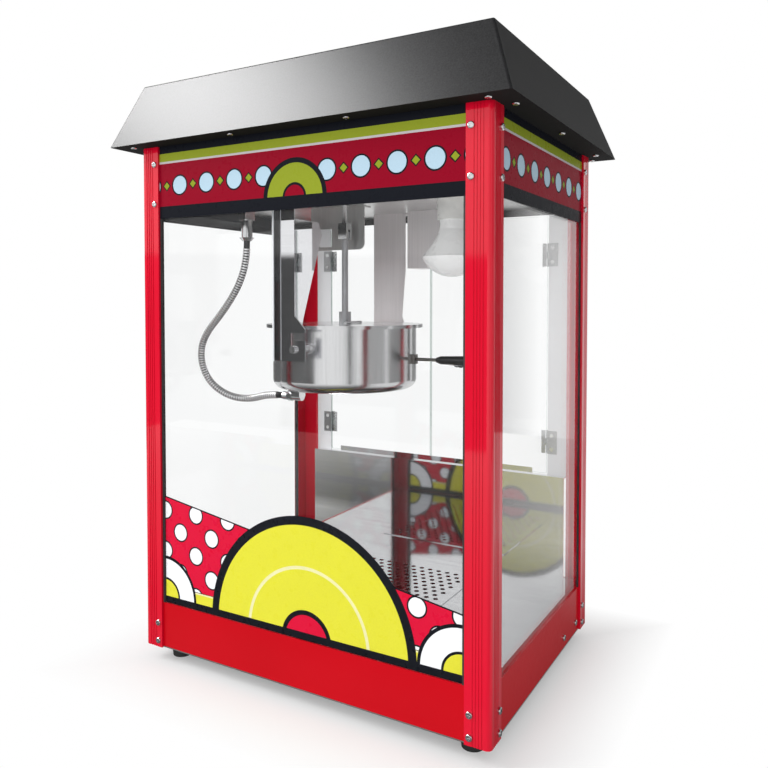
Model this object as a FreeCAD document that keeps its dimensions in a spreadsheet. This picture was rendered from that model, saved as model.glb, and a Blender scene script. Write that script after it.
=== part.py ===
import FreeCAD, Part
import math
import os
from types import SimpleNamespace

import Sketcher

V = FreeCAD.Vector

doc = FreeCAD.newDocument("popcorn_maker")
sheet = doc.addObject("Spreadsheet::Sheet", "Dims")

# Driving sizes in millimetres; angles are in degrees where the name says so.
SIZES = {
    # cabinet
    "cab_width": 500,
    "cab_depth": 366,
    "foot_height": 20,
    "foot_radius": 15,
    "foot_inset": 34,
    "base_height": 61,
    "post_length": 667,
    "post_leg": 30,
    "post_wall": 3,
    "post_round": 6,
    "flute_start": 9,
    "flute_pitch": 3.5,
    "flute_width": 1.5,
    "flute_depth": 0.7,
    "sheet_gauge": 1.5,
    "rail_flange": 20,
    "panel_gap": 0.5,
    "header_height": 94,
    "rear_panel_height": 77,
    "ceiling_rise": 27,
    # roof
    "roof_height": 83,
    "roof_over_side": 30,
    "roof_over_front": 27,
    "roof_slope_inset": 31,
    "roof_round": 3,
    "roof_flange_cover": 30,
    # glazing
    "glass_thickness": 4,
    "seal_thickness": 2,
    "seal_width": 7,
    "seal_show": 3.5,
    "glass_tuck": 12,
    "glass_margin": 1,
    # screws
    "screw_head_radius": 4,
    "screw_head_height": 2.4,
    "screw_shank_radius": 1.9,
    "screw_hole_play": 0.1,
    "recess_span": 4.6,
    "recess_width": 1,
    "recess_depth": 1.2,
    "screw_inset": 24,
    "screw_top_drop": 23,
    "screw_top_pitch": 52,
    "screw_low_rise": 9,
    "screw_low_pitch": 24,
    # floor
    "deck_gauge": 1.2,
    "sieve_width": 220,
    "sieve_depth": 240,
    "sieve_lap": 10,
    "sieve_hole_radius": 3.5,
    "sieve_pitch_side": 14,
    "sieve_pitch_row": 12,
    "sieve_border": 14,
    "sill_height": 146,
    "sill_depth": 12.5,
    "upstand_half": 170,
    "upstand_height": 9,
    # crumb drawer
    "drawer_wall": 1.5,
    "drawer_depth": 270,
    "drawer_height": 46,
    "drawer_play": 0.5,
    "drawer_face_lap": 6,
    "drawer_run_gap": 0.3,
    "pull_depth": 12,
    "pull_width": 70,
    # rear doors
    "door_thickness": 4,
    "door_gap": 1.5,
    "door_meeting_gap": 2,
    "door_edge_gap": 2,
    "jamb_width": 28,
    "jamb_thickness": 2,
    "hinge_height": 34,
    "hinge_leaf": 11,
    "door_leaf": 6,
    "hinge_gauge": 1.2,
    "hinge_knuckle_radius": 3,
    "hinge_pin_radius": 1.5,
    "hinge_play": 0.05,
    "hinge_slit": 0.4,
    "hinge_end_distance": 46,
    "hinge_top_distance": 56,
    "hinge_plate": 14,
    "knob_radius": 8,
    "knob_length": 18,
    "knob_inset": 44,
    "knob_drop": 33,
    # kettle
    "kettle_offset": 46,
    "pivot_offset": 8,
    "pivot_drop": 197,
    "rim_rise": 27,
    "bowl_radius": 101,
    "bowl_height": 87,
    "bowl_wall": 1.2,
    "bowl_round": 14,
    "rim_width": 9,
    "rim_gauge": 2,
    "element_radius": 55,
    "element_tube": 4,
    "fit_gap": 0.05,
    "lid_gauge": 2.5,
    "flap_start": 14,
    "flap_slit": 0.6,
    "lid_knuckle_radius": 2,
    "lid_pin_radius": 1,
    "lid_knuckle_half": 12,
    "lid_ear_length": 7,
    "bush_radius": 8.5,
    "bush_height": 17,
    "bush_neck_radius": 6.5,
    "shaft_radius": 4.5,
    "shaft_play": 0.05,
    "shaft_top_drop": 38,
    "blade_wall_gap": 4,
    "blade_width": 12,
    "blade_height": 7,
    "blade_floor_gap": 1.5,
    "tang_thickness": 4,
    "tang_height": 12,
    "trunnion_radius": 4.5,
    "trunnion_boss_radius": 7,
    "trunnion_boss_length": 5,
    "trunnion_end": 4,
    "pin_play": 0.08,
    # hangers
    "hanger_gap": 19,
    "hanger_gauge": 2,
    "hanger_left": 28,
    "rear_hanger_left": 37,
    "hanger_right": 1,
    "hook_right": 17,
    "hook_below": 15,
    "hook_above": 26,
    "slot_rise": 12,
    "blade_flange_depth": 59,
    "blade_flange_drop": 32,
    "blade_flange_foot": 8,
    "blade_tip_clear": 6,
    "blade_tip_drop": 18,
    "hanger_lip": 8,
    "hanger_tab": 18,
    # handle
    "handle_drop": 18,
    "handle_side": 15,
    "handle_block": 5,
    "handle_block_width": 9,
    "handle_block_height": 13,
    "handle_rod_radius": 2.3,
    "handle_rod_length": 31,
    "grip_length": 88,
    "grip_nose": 6,
    "grip_small_radius": 5.5,
    "grip_large_radius": 8.5,
    # drive
    "fork_size": 14,
    "fork_block": 9,
    "fork_slot_play": 0.3,
    "fork_prong": 13,
    "fork_clear": 3,
    "drive_shaft_radius": 4,
    "gearbox_radius": 38,
    "gearbox_height": 28,
    "motor_radius": 30,
    "motor_height": 55,
    "guard_behind": 16,
    "guard_left": 70,
    "guard_right": 22,
    "guard_drop": 62,
    "guard_round": 9,
    "guard_window_width": 22,
    "guard_window_height": 26,
    "guard_window_left": 15,
    "guard_window_low": 5,
    # lamp
    "lamp_offset": 120,
    "lamp_holder_radius": 19,
    "lamp_holder_length": 30,
    "lamp_flange_radius": 29,
    "lamp_flange": 3,
    "bulb_radius": 39,
    "bulb_neck_radius": 16,
    "bulb_neck": 12,
    "bulb_flare": 36,
    "bulb_dome": 26,
    # control box and switches
    "control_left": 14,
    "control_right": 110,
    "control_depth": 46,
    "control_drop": 86,
    "control_door_gap": 19,
    "switch_radius": 13,
    "switch_width": 16,
    "switch_setback": 6,
    "switch_side_play": 0.4,
    "switch_frame": 3,
    "switch_pitch": 42,
    "switch_offset": 66,
    "switch_scoop": 30,
    "switch_scoop_depth": 3.5,
    "switch_tilt_degrees": 10,
    "switch_pin_radius": 1.5,
    "inlet_width": 48,
    "inlet_height": 28,
    "inlet_offset": 172,
    "inlet_depth": 22,
    "inlet_recess": 14,
    # conduit
    "conduit_side": 140,
    "conduit_forward": 100,
    "connector_length": 54,
    "connector_radius": 7.5,
    "connector_nut_radius": 12,
    "connector_nut_height": 9,
    "connector_collar_radius": 10,
    "connector_lock_radius": 11.5,
    "connector_lock_height": 12,
    "connector_lock_rise": 28,
    "conduit_radius": 5,
    "conduit_valley_radius": 4.2,
    "conduit_bore_radius": 3.3,
    "rib_pitch": 3.6,
    "gland_inset": 9,
    "gland_drop": 7,
    "gland_radius": 5.6,
    "gland_nut_radius": 6.8,
    "gland_nut_length": 8,
    "gland_length": 31,
    "gland_saddle": 14,
    "gland_end_side": 95,
}


class Dim:
    """A size that carries its number and the sheet formula that it comes from."""

    def __init__(self, value, text):
        self.value = float(value)
        self.text = text

    def join(self, value, sign, other):
        return Dim(value, f"({self.text} {sign} {other.text})")

    def __add__(self, other):
        other = as_dim(other)
        return self.join(self.value + other.value, "+", other)

    def __sub__(self, other):
        other = as_dim(other)
        return self.join(self.value - other.value, "-", other)

    def __mul__(self, other):
        other = as_dim(other)
        return self.join(self.value * other.value, "*", other)

    def __truediv__(self, other):
        other = as_dim(other)
        return self.join(self.value / other.value, "/", other)

    def __neg__(self):
        return Dim(-self.value, f"(0 - {self.text})")

    def __radd__(self, other):
        return as_dim(other) + self

    def __rsub__(self, other):
        return as_dim(other) - self

    def __rmul__(self, other):
        return as_dim(other) * self

    def __float__(self):
        return self.value


def as_dim(size):
    """Turn a plain number into a Dim; a Dim stays as it is."""
    if isinstance(size, Dim):
        return size
    return Dim(size, f"({float(size)!r})")


def fill_sheet():
    """Write every driving size to the sheet and return them by name."""
    for row, (alias, number) in enumerate(SIZES.items(), start=1):
        sheet.set(f"A{row}", alias)
        sheet.set(f"B{row}", str(number))
        sheet.setAlias(f"B{row}", alias)
    doc.recompute()
    return SimpleNamespace(**{alias: Dim(sheet.get(alias), f"Dims.{alias}") for alias in SIZES})


D = fill_sheet()
ZERO = as_dim(0)
PARTS = []


def part(obj):
    """Count an object as a finished sub-part, named by its own name."""
    obj.Label = obj.Name
    PARTS.append(obj)
    return obj


def bind(obj, **formulas):
    """Tie an object's properties to the sheet."""
    for name, size in formulas.items():
        obj.setExpression(name, as_dim(size).text)


def put(obj, x, y, z, rotation=None):
    """Place an object at a point that follows the sheet."""
    if rotation is not None:
        obj.Placement = FreeCAD.Placement(V(), rotation)
    for axis, size in (("x", x), ("y", y), ("z", z)):
        obj.setExpression(f"Placement.Base.{axis}", as_dim(size).text)
    return obj


TURN = {
    "Z": FreeCAD.Rotation(),
    "X": FreeCAD.Rotation(V(0, 1, 0), 90),
    "Y": FreeCAD.Rotation(V(1, 0, 0), -90),
}


def box(name, x, y, z):
    """A block between two places on each axis."""
    obj = doc.addObject("Part::Box", name)
    bind(obj, Length=x[1] - x[0], Width=y[1] - y[0], Height=z[1] - z[0])
    return put(obj, x[0], y[0], z[0])


def rod(name, axis, radius, start, length):
    """A round bar from a start point along +X, +Y or +Z."""
    obj = doc.addObject("Part::Cylinder", name)
    bind(obj, Radius=radius, Height=length)
    return put(obj, *start, TURN[axis])


def cone(name, axis, radius_start, radius_end, start, length):
    """A tapered bar from a start point along +X, +Y or +Z."""
    obj = doc.addObject("Part::Cone", name)
    bind(obj, Radius1=radius_start, Radius2=radius_end, Height=length)
    return put(obj, *start, TURN[axis])


def hexagon(name, axis, radius, start, length):
    """A hexagon bar from a start point along +X, +Y or +Z."""
    obj = doc.addObject("Part::Prism", name)
    obj.Polygon = 6
    bind(obj, Circumradius=radius, Height=length)
    return put(obj, *start, TURN[axis])


def fuse(name, *items):
    obj = doc.addObject("Part::MultiFuse", name)
    obj.Shapes = list(items)
    obj.Refine = True
    return obj


def cut(name, base, *tools):
    obj = doc.addObject("Part::Cut", name)
    obj.Base = base
    obj.Tool = tools[0] if len(tools) == 1 else fuse(name + "_tools", *tools)
    return obj


def common(name, *items):
    obj = doc.addObject("Part::MultiCommon", name)
    obj.Shapes = list(items)
    return obj


def group(name, items):
    """Several separate solids under one name."""
    obj = doc.addObject("Part::Compound", name)
    obj.Links = list(items)
    return obj


# Sketch planes: the sketch's own axes, and the sign of its normal on the padded axis.
PLANES = {"Z": ("XY_Plane", 1), "Y": ("XZ_Plane", -1), "X": ("YZ_Plane", 1)}


def sketch_on(body, name, axis, level):
    """A sketch of a body, square to an axis at a level along it."""
    role, sign = PLANES[axis]
    plane = [feature for feature in body.Origin.OriginFeatures if feature.Role == role][0]
    sketch = body.newObject("Sketcher::SketchObject", name)
    sketch.AttachmentSupport = [(plane, "")]
    sketch.MapMode = "FlatFace"
    sketch.setExpression("AttachmentOffset.Base.z", (as_dim(level) * sign).text)
    return sketch


def fix_point(sketch, geometry, point, place):
    """Hold a sketch point at its two coordinates."""
    for kind, size in zip(("DistanceX", "DistanceY"), place):
        size = as_dim(size)
        index = sketch.addConstraint(Sketcher.Constraint(kind, -1, 1, geometry, point, size.value))
        sketch.setExpression(f"Constraints[{index}]", size.text)


def draw_polygon(sketch, points):
    """A closed outline of straight lines through points that follow the sheet."""
    places = [V(float(u), float(v), 0) for u, v in points]
    count = len(points)
    lines = [
        sketch.addGeometry(Part.LineSegment(places[i], places[(i + 1) % count]), False) for i in range(count)
    ]
    for i in range(count):
        sketch.addConstraint(Sketcher.Constraint("Coincident", lines[i], 2, lines[(i + 1) % count], 1))
    for line, place in zip(lines, points):
        fix_point(sketch, line, 1, place)


def draw_circle(sketch, centre, radius):
    """A circle whose centre and radius follow the sheet."""
    place = V(float(centre[0]), float(centre[1]), 0)
    circle = sketch.addGeometry(Part.Circle(place, V(0, 0, 1), float(radius)), False)
    fix_point(sketch, circle, 3, centre)
    index = sketch.addConstraint(Sketcher.Constraint("Radius", circle, float(radius)))
    sketch.setExpression(f"Constraints[{index}]", as_dim(radius).text)


def outline(sketch, shape):
    """Draw a polygon from a list of points, or a circle from a centre and a radius."""
    if isinstance(shape, list):
        draw_polygon(sketch, shape)
    else:
        draw_circle(sketch, *shape)


def new_body(name):
    return doc.addObject("PartDesign::Body", name)


def pad(body, name, axis, span, shape):
    """Add the outline's prism between two levels on an axis."""
    low, high = span
    start = high if axis == "Y" else low
    sketch = sketch_on(body, name + "_sketch", axis, start)
    outline(sketch, shape)
    feature = body.newObject("PartDesign::Pad", name)
    feature.Profile = sketch
    bind(feature, Length=high - low)
    doc.recompute()
    return feature


def pocket(body, name, axis, span, shape):
    """Cut the outline's prism between two levels on an axis, and make sure that it cut."""
    low, high = span
    start = low if axis == "Y" else high
    before = body.Shape.Volume
    sketch = sketch_on(body, name + "_sketch", axis, start)
    outline(sketch, shape)
    feature = body.newObject("PartDesign::Pocket", name)
    feature.Profile = sketch
    bind(feature, Length=high - low)
    doc.recompute()
    if body.Shape.Volume >= before:
        raise RuntimeError(f"{name} cuts nothing")
    return feature


def prism(name, axis, span, shape):
    """A body that is one padded outline."""
    body = new_body(name)
    pad(body, name + "_pad", axis, span, shape)
    return body


def turned(name, profile, start, axis="Z"):
    """A body of revolution from (radius, height) points, standing on a start point along an axis."""
    body = new_body(name)
    sketch = sketch_on(body, name + "_sketch", "Y", ZERO)
    draw_polygon(sketch, profile)
    feature = body.newObject("PartDesign::Revolution", name + "_turn")
    feature.Profile = sketch
    feature.ReferenceAxis = (sketch, ["V_Axis"])
    feature.Angle = 360
    put(body, *start, TURN[axis])
    doc.recompute()
    return body


def round_edges(body, name, radius, wanted):
    """Fillet the edges of a body that a test picks, by the ends and middle of each edge."""
    tip = body.Tip
    names = [f"Edge{i}" for i, edge in enumerate(tip.Shape.Edges, start=1) if wanted(edge)]
    feature = body.newObject("PartDesign::Fillet", name)
    feature.Base = (tip, names)
    bind(feature, Radius=radius)
    doc.recompute()
    return feature


def near(number, size):
    """True where a number is the size, within a hundredth of a millimetre."""
    return abs(number - float(size)) < 0.01


def mirror(span, side):
    """A span on the right (side 1) or its mirror image on the left (side -1)."""
    low, high = span
    return (low, high) if side > 0 else (-high, -low)


# Levels and planes that many pieces share.
half_width = D.cab_width / 2
half_depth = D.cab_depth / 2
base_bottom = D.foot_height
base_top = base_bottom + D.base_height
post_top = base_bottom + D.post_length
header_bottom = post_top - D.header_height
ceiling_z = header_bottom + D.ceiling_rise
ceiling_top = ceiling_z + D.sheet_gauge
rear_panel_bottom = post_top - D.rear_panel_height
skin_side = half_width - D.post_wall
skin_front = half_depth - D.post_wall
deck_top = base_top + D.deck_gauge
sill_top = deck_top + D.sill_height
rail_bottom = base_bottom + D.sheet_gauge
kettle_x = -D.kettle_offset
pivot_x = kettle_x + D.pivot_offset
pivot_z = ceiling_z - D.pivot_drop
rim_z = pivot_z + D.rim_rise
bowl_bottom = rim_z - D.bowl_height
pan_level = bowl_bottom + D.bowl_round
lid_top = rim_z + D.lid_gauge
rim_radius = D.bowl_radius + D.rim_width
blade_reach = D.bowl_radius - D.bowl_wall - D.blade_wall_gap
hanger_y = rim_radius + D.hanger_gap
glass_side = skin_side - D.seal_thickness
glass_front = skin_front - D.seal_thickness
glass_half = glass_side - D.glass_thickness - D.glass_margin
glass_side_half = glass_front - D.glass_thickness - D.glass_margin
door_outside = half_depth
door_inside = door_outside - D.door_thickness
jamb_inside = door_outside - D.jamb_thickness
jamb_outer_x = half_width - D.post_leg
jamb_inner_x = jamb_outer_x - D.jamb_width
sill_front = door_outside - D.sill_depth
hinge_x = jamb_inner_x - D.door_gap / 2
hinge_y = door_outside + D.hinge_knuckle_radius
drawer_half = D.sieve_width / 2 - D.sieve_lap
drawer_low = rail_bottom + D.drawer_run_gap
drawer_top = drawer_low + D.drawer_height

SIDES = {"left": -1, "right": 1}
ENDS = {"front": -1, "rear": 1}


def screw_places():
    """Centre of each screw seat and the way its head points, for posts, side rails and roof."""
    side, front = float(half_width), float(half_depth)
    inset = float(D.screw_inset)
    top = float(post_top - D.screw_top_drop)
    low = float(base_bottom + D.screw_low_rise)
    levels = (top, top - float(D.screw_top_pitch), low, low + float(D.screw_low_pitch))
    places = []
    for sx in SIDES.values():
        for sy in ENDS.values():
            for level in levels:
                places.append((V(sx * (side - inset), sy * front, level), V(0, sy, 0), D.post_wall))
                places.append((V(sx * side, sy * (front - inset), level), V(sx, 0, 0), D.post_wall))
    rail_level = float(base_bottom + D.base_height / 4)
    for sx in SIDES.values():
        for share in (0.45, 0.75):
            seat = V(sx * float(skin_side), share * front, rail_level)
            places.append((seat, V(sx, 0, 0), D.sheet_gauge))
    out_front = front + float(D.roof_over_front) / 2
    out_side = side + float(D.roof_over_side) / 2
    for sy in ENDS.values():
        for x in (-side, -side / 3, side / 3, side):
            places.append((V(x, sy * out_front, float(post_top)), V(0, 0, -1), D.sheet_gauge))
    for sx in SIDES.values():
        for y in (-front + inset, 0.0, front - inset):
            places.append((V(sx * out_side, y, float(post_top)), V(0, 0, -1), D.sheet_gauge))
    return places


def cross_recess(seat, out, turn):
    """Cross-shaped driver recess in the top of a screw head, turned about the screw's axis."""
    span, width = float(D.recess_span), float(D.recess_width)
    depth = float(D.recess_depth)
    level = float(D.screw_head_height) - depth
    arms = [
        Part.makeBox(x, y, 2 * depth, V(-x / 2, -y / 2, level))
        for x, y in ((span, width), (width, span))
    ]
    cross = arms[0].fuse(arms[1]).removeSplitter()
    aim = FreeCAD.Rotation(V(0, 0, 1), out)
    cross.Placement = FreeCAD.Placement(seat, aim.multiply(FreeCAD.Rotation(V(0, 0, 1), turn)))
    return cross


def build_screws():
    """All pan-head screws as one group, and the clearance holes that their shanks need."""
    screws, holes = [], []
    head_radius = float(D.screw_head_radius)
    head_height = float(D.screw_head_height)
    for number, (seat, out, grip) in enumerate(screw_places()):
        head = Part.makeCylinder(head_radius, head_height, seat, out)
        rim = [edge for edge in head.Edges if near((edge.CenterOfMass - seat).dot(out), head_height)]
        head = head.makeFillet(0.6 * head_height, rim).cut(cross_recess(seat, out, 37.0 * number))
        shank = Part.makeCylinder(float(D.screw_shank_radius), float(grip), seat, -out)
        screws.append(head.fuse(shank).removeSplitter())
        bore = float(D.screw_shank_radius + D.screw_hole_play)
        holes.append(Part.makeCylinder(bore, float(grip) + 2, seat + out, -out))
    node = doc.addObject("Part::Feature", "pan_head_screws")
    node.Shape = Part.Compound(screws)
    part(node)
    tool = doc.addObject("Part::Feature", "screw_holes")
    tool.Shape = Part.Compound(holes)
    return tool


def build_base(screw_holes):
    """Bottom plate, four folded rails and the rubber feet."""
    part(box("base_bottom_plate", (-skin_side, skin_side), (-skin_front, skin_front), (base_bottom, rail_bottom)))
    for end, sy in ENDS.items():
        rail = new_body(f"base_{end}_rail" if end == "front" else "base_rear_rail_blank")
        profile = [
            (sy * skin_front, rail_bottom),
            (sy * (skin_front - D.sheet_gauge), rail_bottom),
            (sy * (skin_front - D.sheet_gauge), base_top - D.sheet_gauge),
            (sy * (skin_front - D.rail_flange), base_top - D.sheet_gauge),
            (sy * (skin_front - D.rail_flange), base_top),
            (sy * skin_front, base_top),
        ]
        pad(rail, f"{end}_rail_pad", "X", (-skin_side, skin_side), profile)
        if end == "front":
            part(rail)
            continue
        mouth_half = drawer_half + D.drawer_play
        mouth = box(
            "drawer_mouth",
            (-mouth_half, mouth_half),
            (skin_front - 2 * D.sheet_gauge, skin_front + D.sheet_gauge),
            (rail_bottom - D.sheet_gauge, drawer_top + D.drawer_play),
        )
        inlet_low = (rail_bottom + base_top - D.inlet_height) / 2 + D.switch_frame
        inlet_hole = box(
            "inlet_hole",
            (D.inlet_offset - D.inlet_width / 2 + D.switch_frame, D.inlet_offset + D.inlet_width / 2 - D.switch_frame),
            (skin_front - 2 * D.sheet_gauge, skin_front + D.sheet_gauge),
            (inlet_low, inlet_low + D.inlet_height - 2 * D.switch_frame),
        )
        part(cut("base_rear_rail", rail, mouth, inlet_hole))
    half_run = skin_front - D.rail_flange
    for side, sx in SIDES.items():
        profile = [
            (sx * skin_side, rail_bottom),
            (sx * (skin_side - D.sheet_gauge), rail_bottom),
            (sx * (skin_side - D.sheet_gauge), base_top - D.sheet_gauge),
            (sx * (skin_side - D.rail_flange), base_top - D.sheet_gauge),
            (sx * (skin_side - D.rail_flange), base_top),
            (sx * skin_side, base_top),
        ]
        rail = prism(f"base_{side}_rail_blank", "Y", (-half_run, half_run), profile)
        part(cut(f"base_{side}_rail", rail, screw_holes))
    foot_x = half_width - D.foot_inset
    foot_y = half_depth - D.foot_inset
    feet = [
        cone(f"foot_{side}_{end}", "Z", D.foot_radius * 0.85, D.foot_radius, (sx * foot_x, sy * foot_y, ZERO),
             D.foot_height)
        for side, sx in SIDES.items()
        for end, sy in ENDS.items()
    ]
    part(group("rubber_feet", feet))


def post_profile(sx, sy):
    """Angle section with a row of flutes on both outer faces, from the outside corner."""
    leg = [(ZERO, ZERO)]
    flute_count = 4
    for i in range(flute_count):
        start = D.flute_start + i * D.flute_pitch
        end = start + D.flute_width
        leg += [(start, ZERO), (start, D.flute_depth), (end, D.flute_depth), (end, ZERO)]
    leg += [(D.post_leg, ZERO), (D.post_leg, D.post_wall)]
    inner = [(D.post_wall, D.post_wall)]
    other = [(v, u) for u, v in reversed(leg[1:])]
    return [(sx * (half_width - u), sy * (half_depth - v)) for u, v in leg + inner + other]


def build_posts(screw_holes):
    """Four fluted corner posts with a rounded outside corner."""
    for end, sy in ENDS.items():
        for side, sx in SIDES.items():
            blank = new_body(f"post_{end}_{side}_blank")
            pad(blank, f"post_{end}_{side}_pad", "Z", (base_bottom, post_top), post_profile(sx, sy))

            def corner(edge):
                middle = edge.CenterOfMass
                upright = edge.Length > float(D.post_length) / 2
                return upright and near(middle.x, sx * half_width) and near(middle.y, sy * half_depth)

            round_edges(blank, f"post_{end}_{side}_round", D.post_round, corner)
            part(cut(f"corner_post_{end}_{side}", blank, screw_holes))


def build_header():
    """Sign panels behind the posts, rear control panel and ceiling plate."""
    inner_half = skin_side - D.sheet_gauge - D.panel_gap
    heights = (header_bottom, post_top)
    part(box("front_sign_panel", (-inner_half, inner_half), (-skin_front, -skin_front + D.sheet_gauge), heights))
    for side, sx in SIDES.items():
        span = mirror((skin_side - D.sheet_gauge, skin_side), sx)
        part(box(f"{side}_sign_panel", span, (-skin_front, skin_front), heights))
    panel = box(
        "rear_panel_blank",
        (-inner_half, inner_half),
        (skin_front - D.sheet_gauge, skin_front),
        (rear_panel_bottom, post_top),
    )
    part(cut("rear_control_panel", panel, *[switch_hole(i) for i in range(3)]))
    reach = skin_front - D.sheet_gauge - D.panel_gap
    plate = box("ceiling_blank", (-inner_half, inner_half), (-reach, reach), (ceiling_z, ceiling_top))
    hole_radius = D.drive_shaft_radius + D.panel_gap
    drive_hole = rod("ceiling_hole", "Z", hole_radius, (kettle_x, ZERO, ceiling_z - 1), D.sheet_gauge + 2)
    part(cut("ceiling_plate", plate, drive_hole))


def frustum(name, inset, low, high):
    """Roof-shaped block: the roof's outside drawn in by an inset, between two heights above the rim."""
    slope = D.roof_slope_inset / D.roof_height
    obj = doc.addObject("Part::Wedge", name)
    x_rim = half_width + D.roof_over_side - inset
    y_rim = half_depth + D.roof_over_front - inset
    bind(
        obj,
        Xmin=-(x_rim - slope * low), Xmax=x_rim - slope * low,
        Zmin=-(y_rim - slope * low), Zmax=y_rim - slope * low,
        X2min=-(x_rim - slope * high), X2max=x_rim - slope * high,
        Z2min=-(y_rim - slope * high), Z2max=y_rim - slope * high,
        Ymin=low, Ymax=high,
    )
    return put(obj, ZERO, ZERO, post_top, FreeCAD.Rotation(V(1, 0, 0), 90))


def build_roof(screw_holes):
    """Folded roof shell with a flat return flange that sits on the posts."""
    block = frustum("roof_block", ZERO, ZERO, D.roof_height)
    doc.recompute()
    above_rim = float(post_top) + 1
    rounded = doc.addObject("Part::Fillet", "roof_rounded")
    rounded.Base = block
    radius = float(D.roof_round)
    rounded.Edges = [
        (i, radius, radius)
        for i, edge in enumerate(block.Shape.Edges, start=1)
        if edge.BoundBox.ZMax > above_rim
    ]
    hollow = frustum("roof_hollow", D.sheet_gauge, D.sheet_gauge, D.roof_height - D.sheet_gauge)
    open_x = half_width - D.roof_flange_cover
    open_y = half_depth - D.roof_flange_cover
    mouth = box("roof_mouth", (-open_x, open_x), (-open_y, open_y), (post_top - 1, post_top + 2 * D.sheet_gauge))
    part(cut("roof_shell", rounded, hollow, mouth, screw_holes))


def build_glazing():
    """Three panes that stand on the rails, with dark seals between pane and post."""
    heights = (base_top, header_bottom + D.glass_tuck)
    front_span = (-glass_front, -glass_front + D.glass_thickness)
    part(box("front_glass", (-glass_half, glass_half), front_span, heights))
    for side, sx in SIDES.items():
        span = mirror((glass_side - D.glass_thickness, glass_side), sx)
        part(box(f"{side}_glass", span, (-glass_side_half, glass_side_half), heights))
    strips = []
    seal_heights = (base_top, header_bottom)
    for side, sx in SIDES.items():
        edge = half_width - D.post_leg - D.seal_show
        across = mirror((edge, edge + D.seal_width), sx)
        strips.append(box(f"seal_front_{side}", across, (-skin_front, -glass_front), seal_heights))
        for end, sy in ENDS.items():
            edge = half_depth - D.post_leg - D.seal_show
            along = mirror((edge, edge + D.seal_width), sy)
            strips.append(box(f"seal_{side}_{end}", mirror((glass_side, skin_side), sx), along, seal_heights))
    part(group("glazing_seals", strips))


def build_floor():
    """Deck, sieve plate and the rear sill with its shelf and door stop."""
    deck = box("deck_blank", (-glass_half, glass_half), (-glass_side_half, glass_side_half), (base_top, deck_top))
    open_x = D.sieve_width / 2 - D.sieve_lap
    open_y = D.sieve_depth / 2 - D.sieve_lap
    well = box("deck_well", (-open_x, open_x), (-open_y, open_y), (base_top - 1, deck_top + 1))
    part(cut("floor_deck", deck, well))
    sieve = doc.addObject("Part::Feature", "sieve_plate")
    sieve.Shape = sieve_shape()
    sieve.Placement = FreeCAD.Placement(V(0, 0, float(deck_top)), FreeCAD.Rotation())
    part(sieve)
    profile = [
        (sill_front, deck_top),
        (sill_front, sill_top),
        (door_outside, sill_top),
        (door_outside, sill_top - D.sheet_gauge),
        (sill_front + D.sheet_gauge, sill_top - D.sheet_gauge),
        (sill_front + D.sheet_gauge, deck_top),
    ]
    sill_half = jamb_outer_x - D.panel_gap
    shelf = prism("sill_shelf", "X", (-sill_half, sill_half), profile)
    upstand_back = door_inside - D.panel_gap
    upstand = box(
        "sill_upstand",
        (-D.upstand_half, D.upstand_half),
        (upstand_back - D.sheet_gauge, upstand_back),
        (sill_top - D.sheet_gauge, sill_top + D.upstand_height),
    )
    part(fuse("rear_sill", shelf, upstand))


def sieve_shape():
    """Flat plate with staggered round holes."""
    width, depth = float(D.sieve_width), float(D.sieve_depth)
    step, row_step = float(D.sieve_pitch_side), float(D.sieve_pitch_row)
    border, radius = float(D.sieve_border), float(D.sieve_hole_radius)
    across = int((width - 2 * border - radius) / step)
    rows = int((depth - 2 * border) / row_step)
    plate = Part.makePlane(width, depth, V(-width / 2, -depth / 2, 0))
    holes = []
    for row in range(rows + 1):
        y = (row - rows / 2) * row_step
        shift = step / 4 if row % 2 else -step / 4
        for column in range(across + 1):
            x = (column - across / 2) * step + shift
            holes.append(Part.Wire(Part.makeCircle(radius, V(x, y, 0))))
    face = Part.Face([plate.OuterWire] + holes)
    face.validate()
    solid = face.extrude(V(0, 0, float(D.deck_gauge)))
    return solid


def build_drawer():
    """Crumb drawer that slides out at the rear, with a face plate and a lip to pull."""
    wall = D.drawer_wall
    face_in = skin_front + D.drawer_run_gap
    front_end = face_in - D.drawer_depth
    tray = box("drawer_block", (-drawer_half, drawer_half), (front_end, face_in), (drawer_low, drawer_top))
    inside = box(
        "drawer_inside",
        (wall - drawer_half, drawer_half - wall),
        (front_end + wall, face_in - wall),
        (drawer_low + wall, drawer_top + 1),
    )
    face_half = drawer_half + D.drawer_play + D.drawer_face_lap
    face = box(
        "drawer_face",
        (-face_half, face_half),
        (face_in, face_in + wall),
        (drawer_low, drawer_top + D.drawer_play + D.drawer_face_lap),
    )
    pull_level = (drawer_low + drawer_top) / 2
    pull = box(
        "drawer_pull",
        (-D.pull_width / 2, D.pull_width / 2),
        (face_in, face_in + D.pull_depth),
        (pull_level, pull_level + wall),
    )
    pull_lip = box(
        "drawer_pull_lip",
        (-D.pull_width / 2, D.pull_width / 2),
        (face_in + D.pull_depth - wall, face_in + D.pull_depth),
        (pull_level - 3 * wall, pull_level + wall),
    )
    part(fuse("crumb_drawer", cut("drawer_tray", tray, inside), face, pull, pull_lip))


def knuckle_thirds(low):
    """Three equal knuckle spans of a hinge, from the bottom, with slits between them."""
    third = D.hinge_height / 3
    slit = D.hinge_slit / 2
    return [
        (low, low + third - slit),
        (low + third + slit, low + 2 * third - slit),
        (low + 2 * third + slit, low + 3 * third),
    ]


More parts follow.
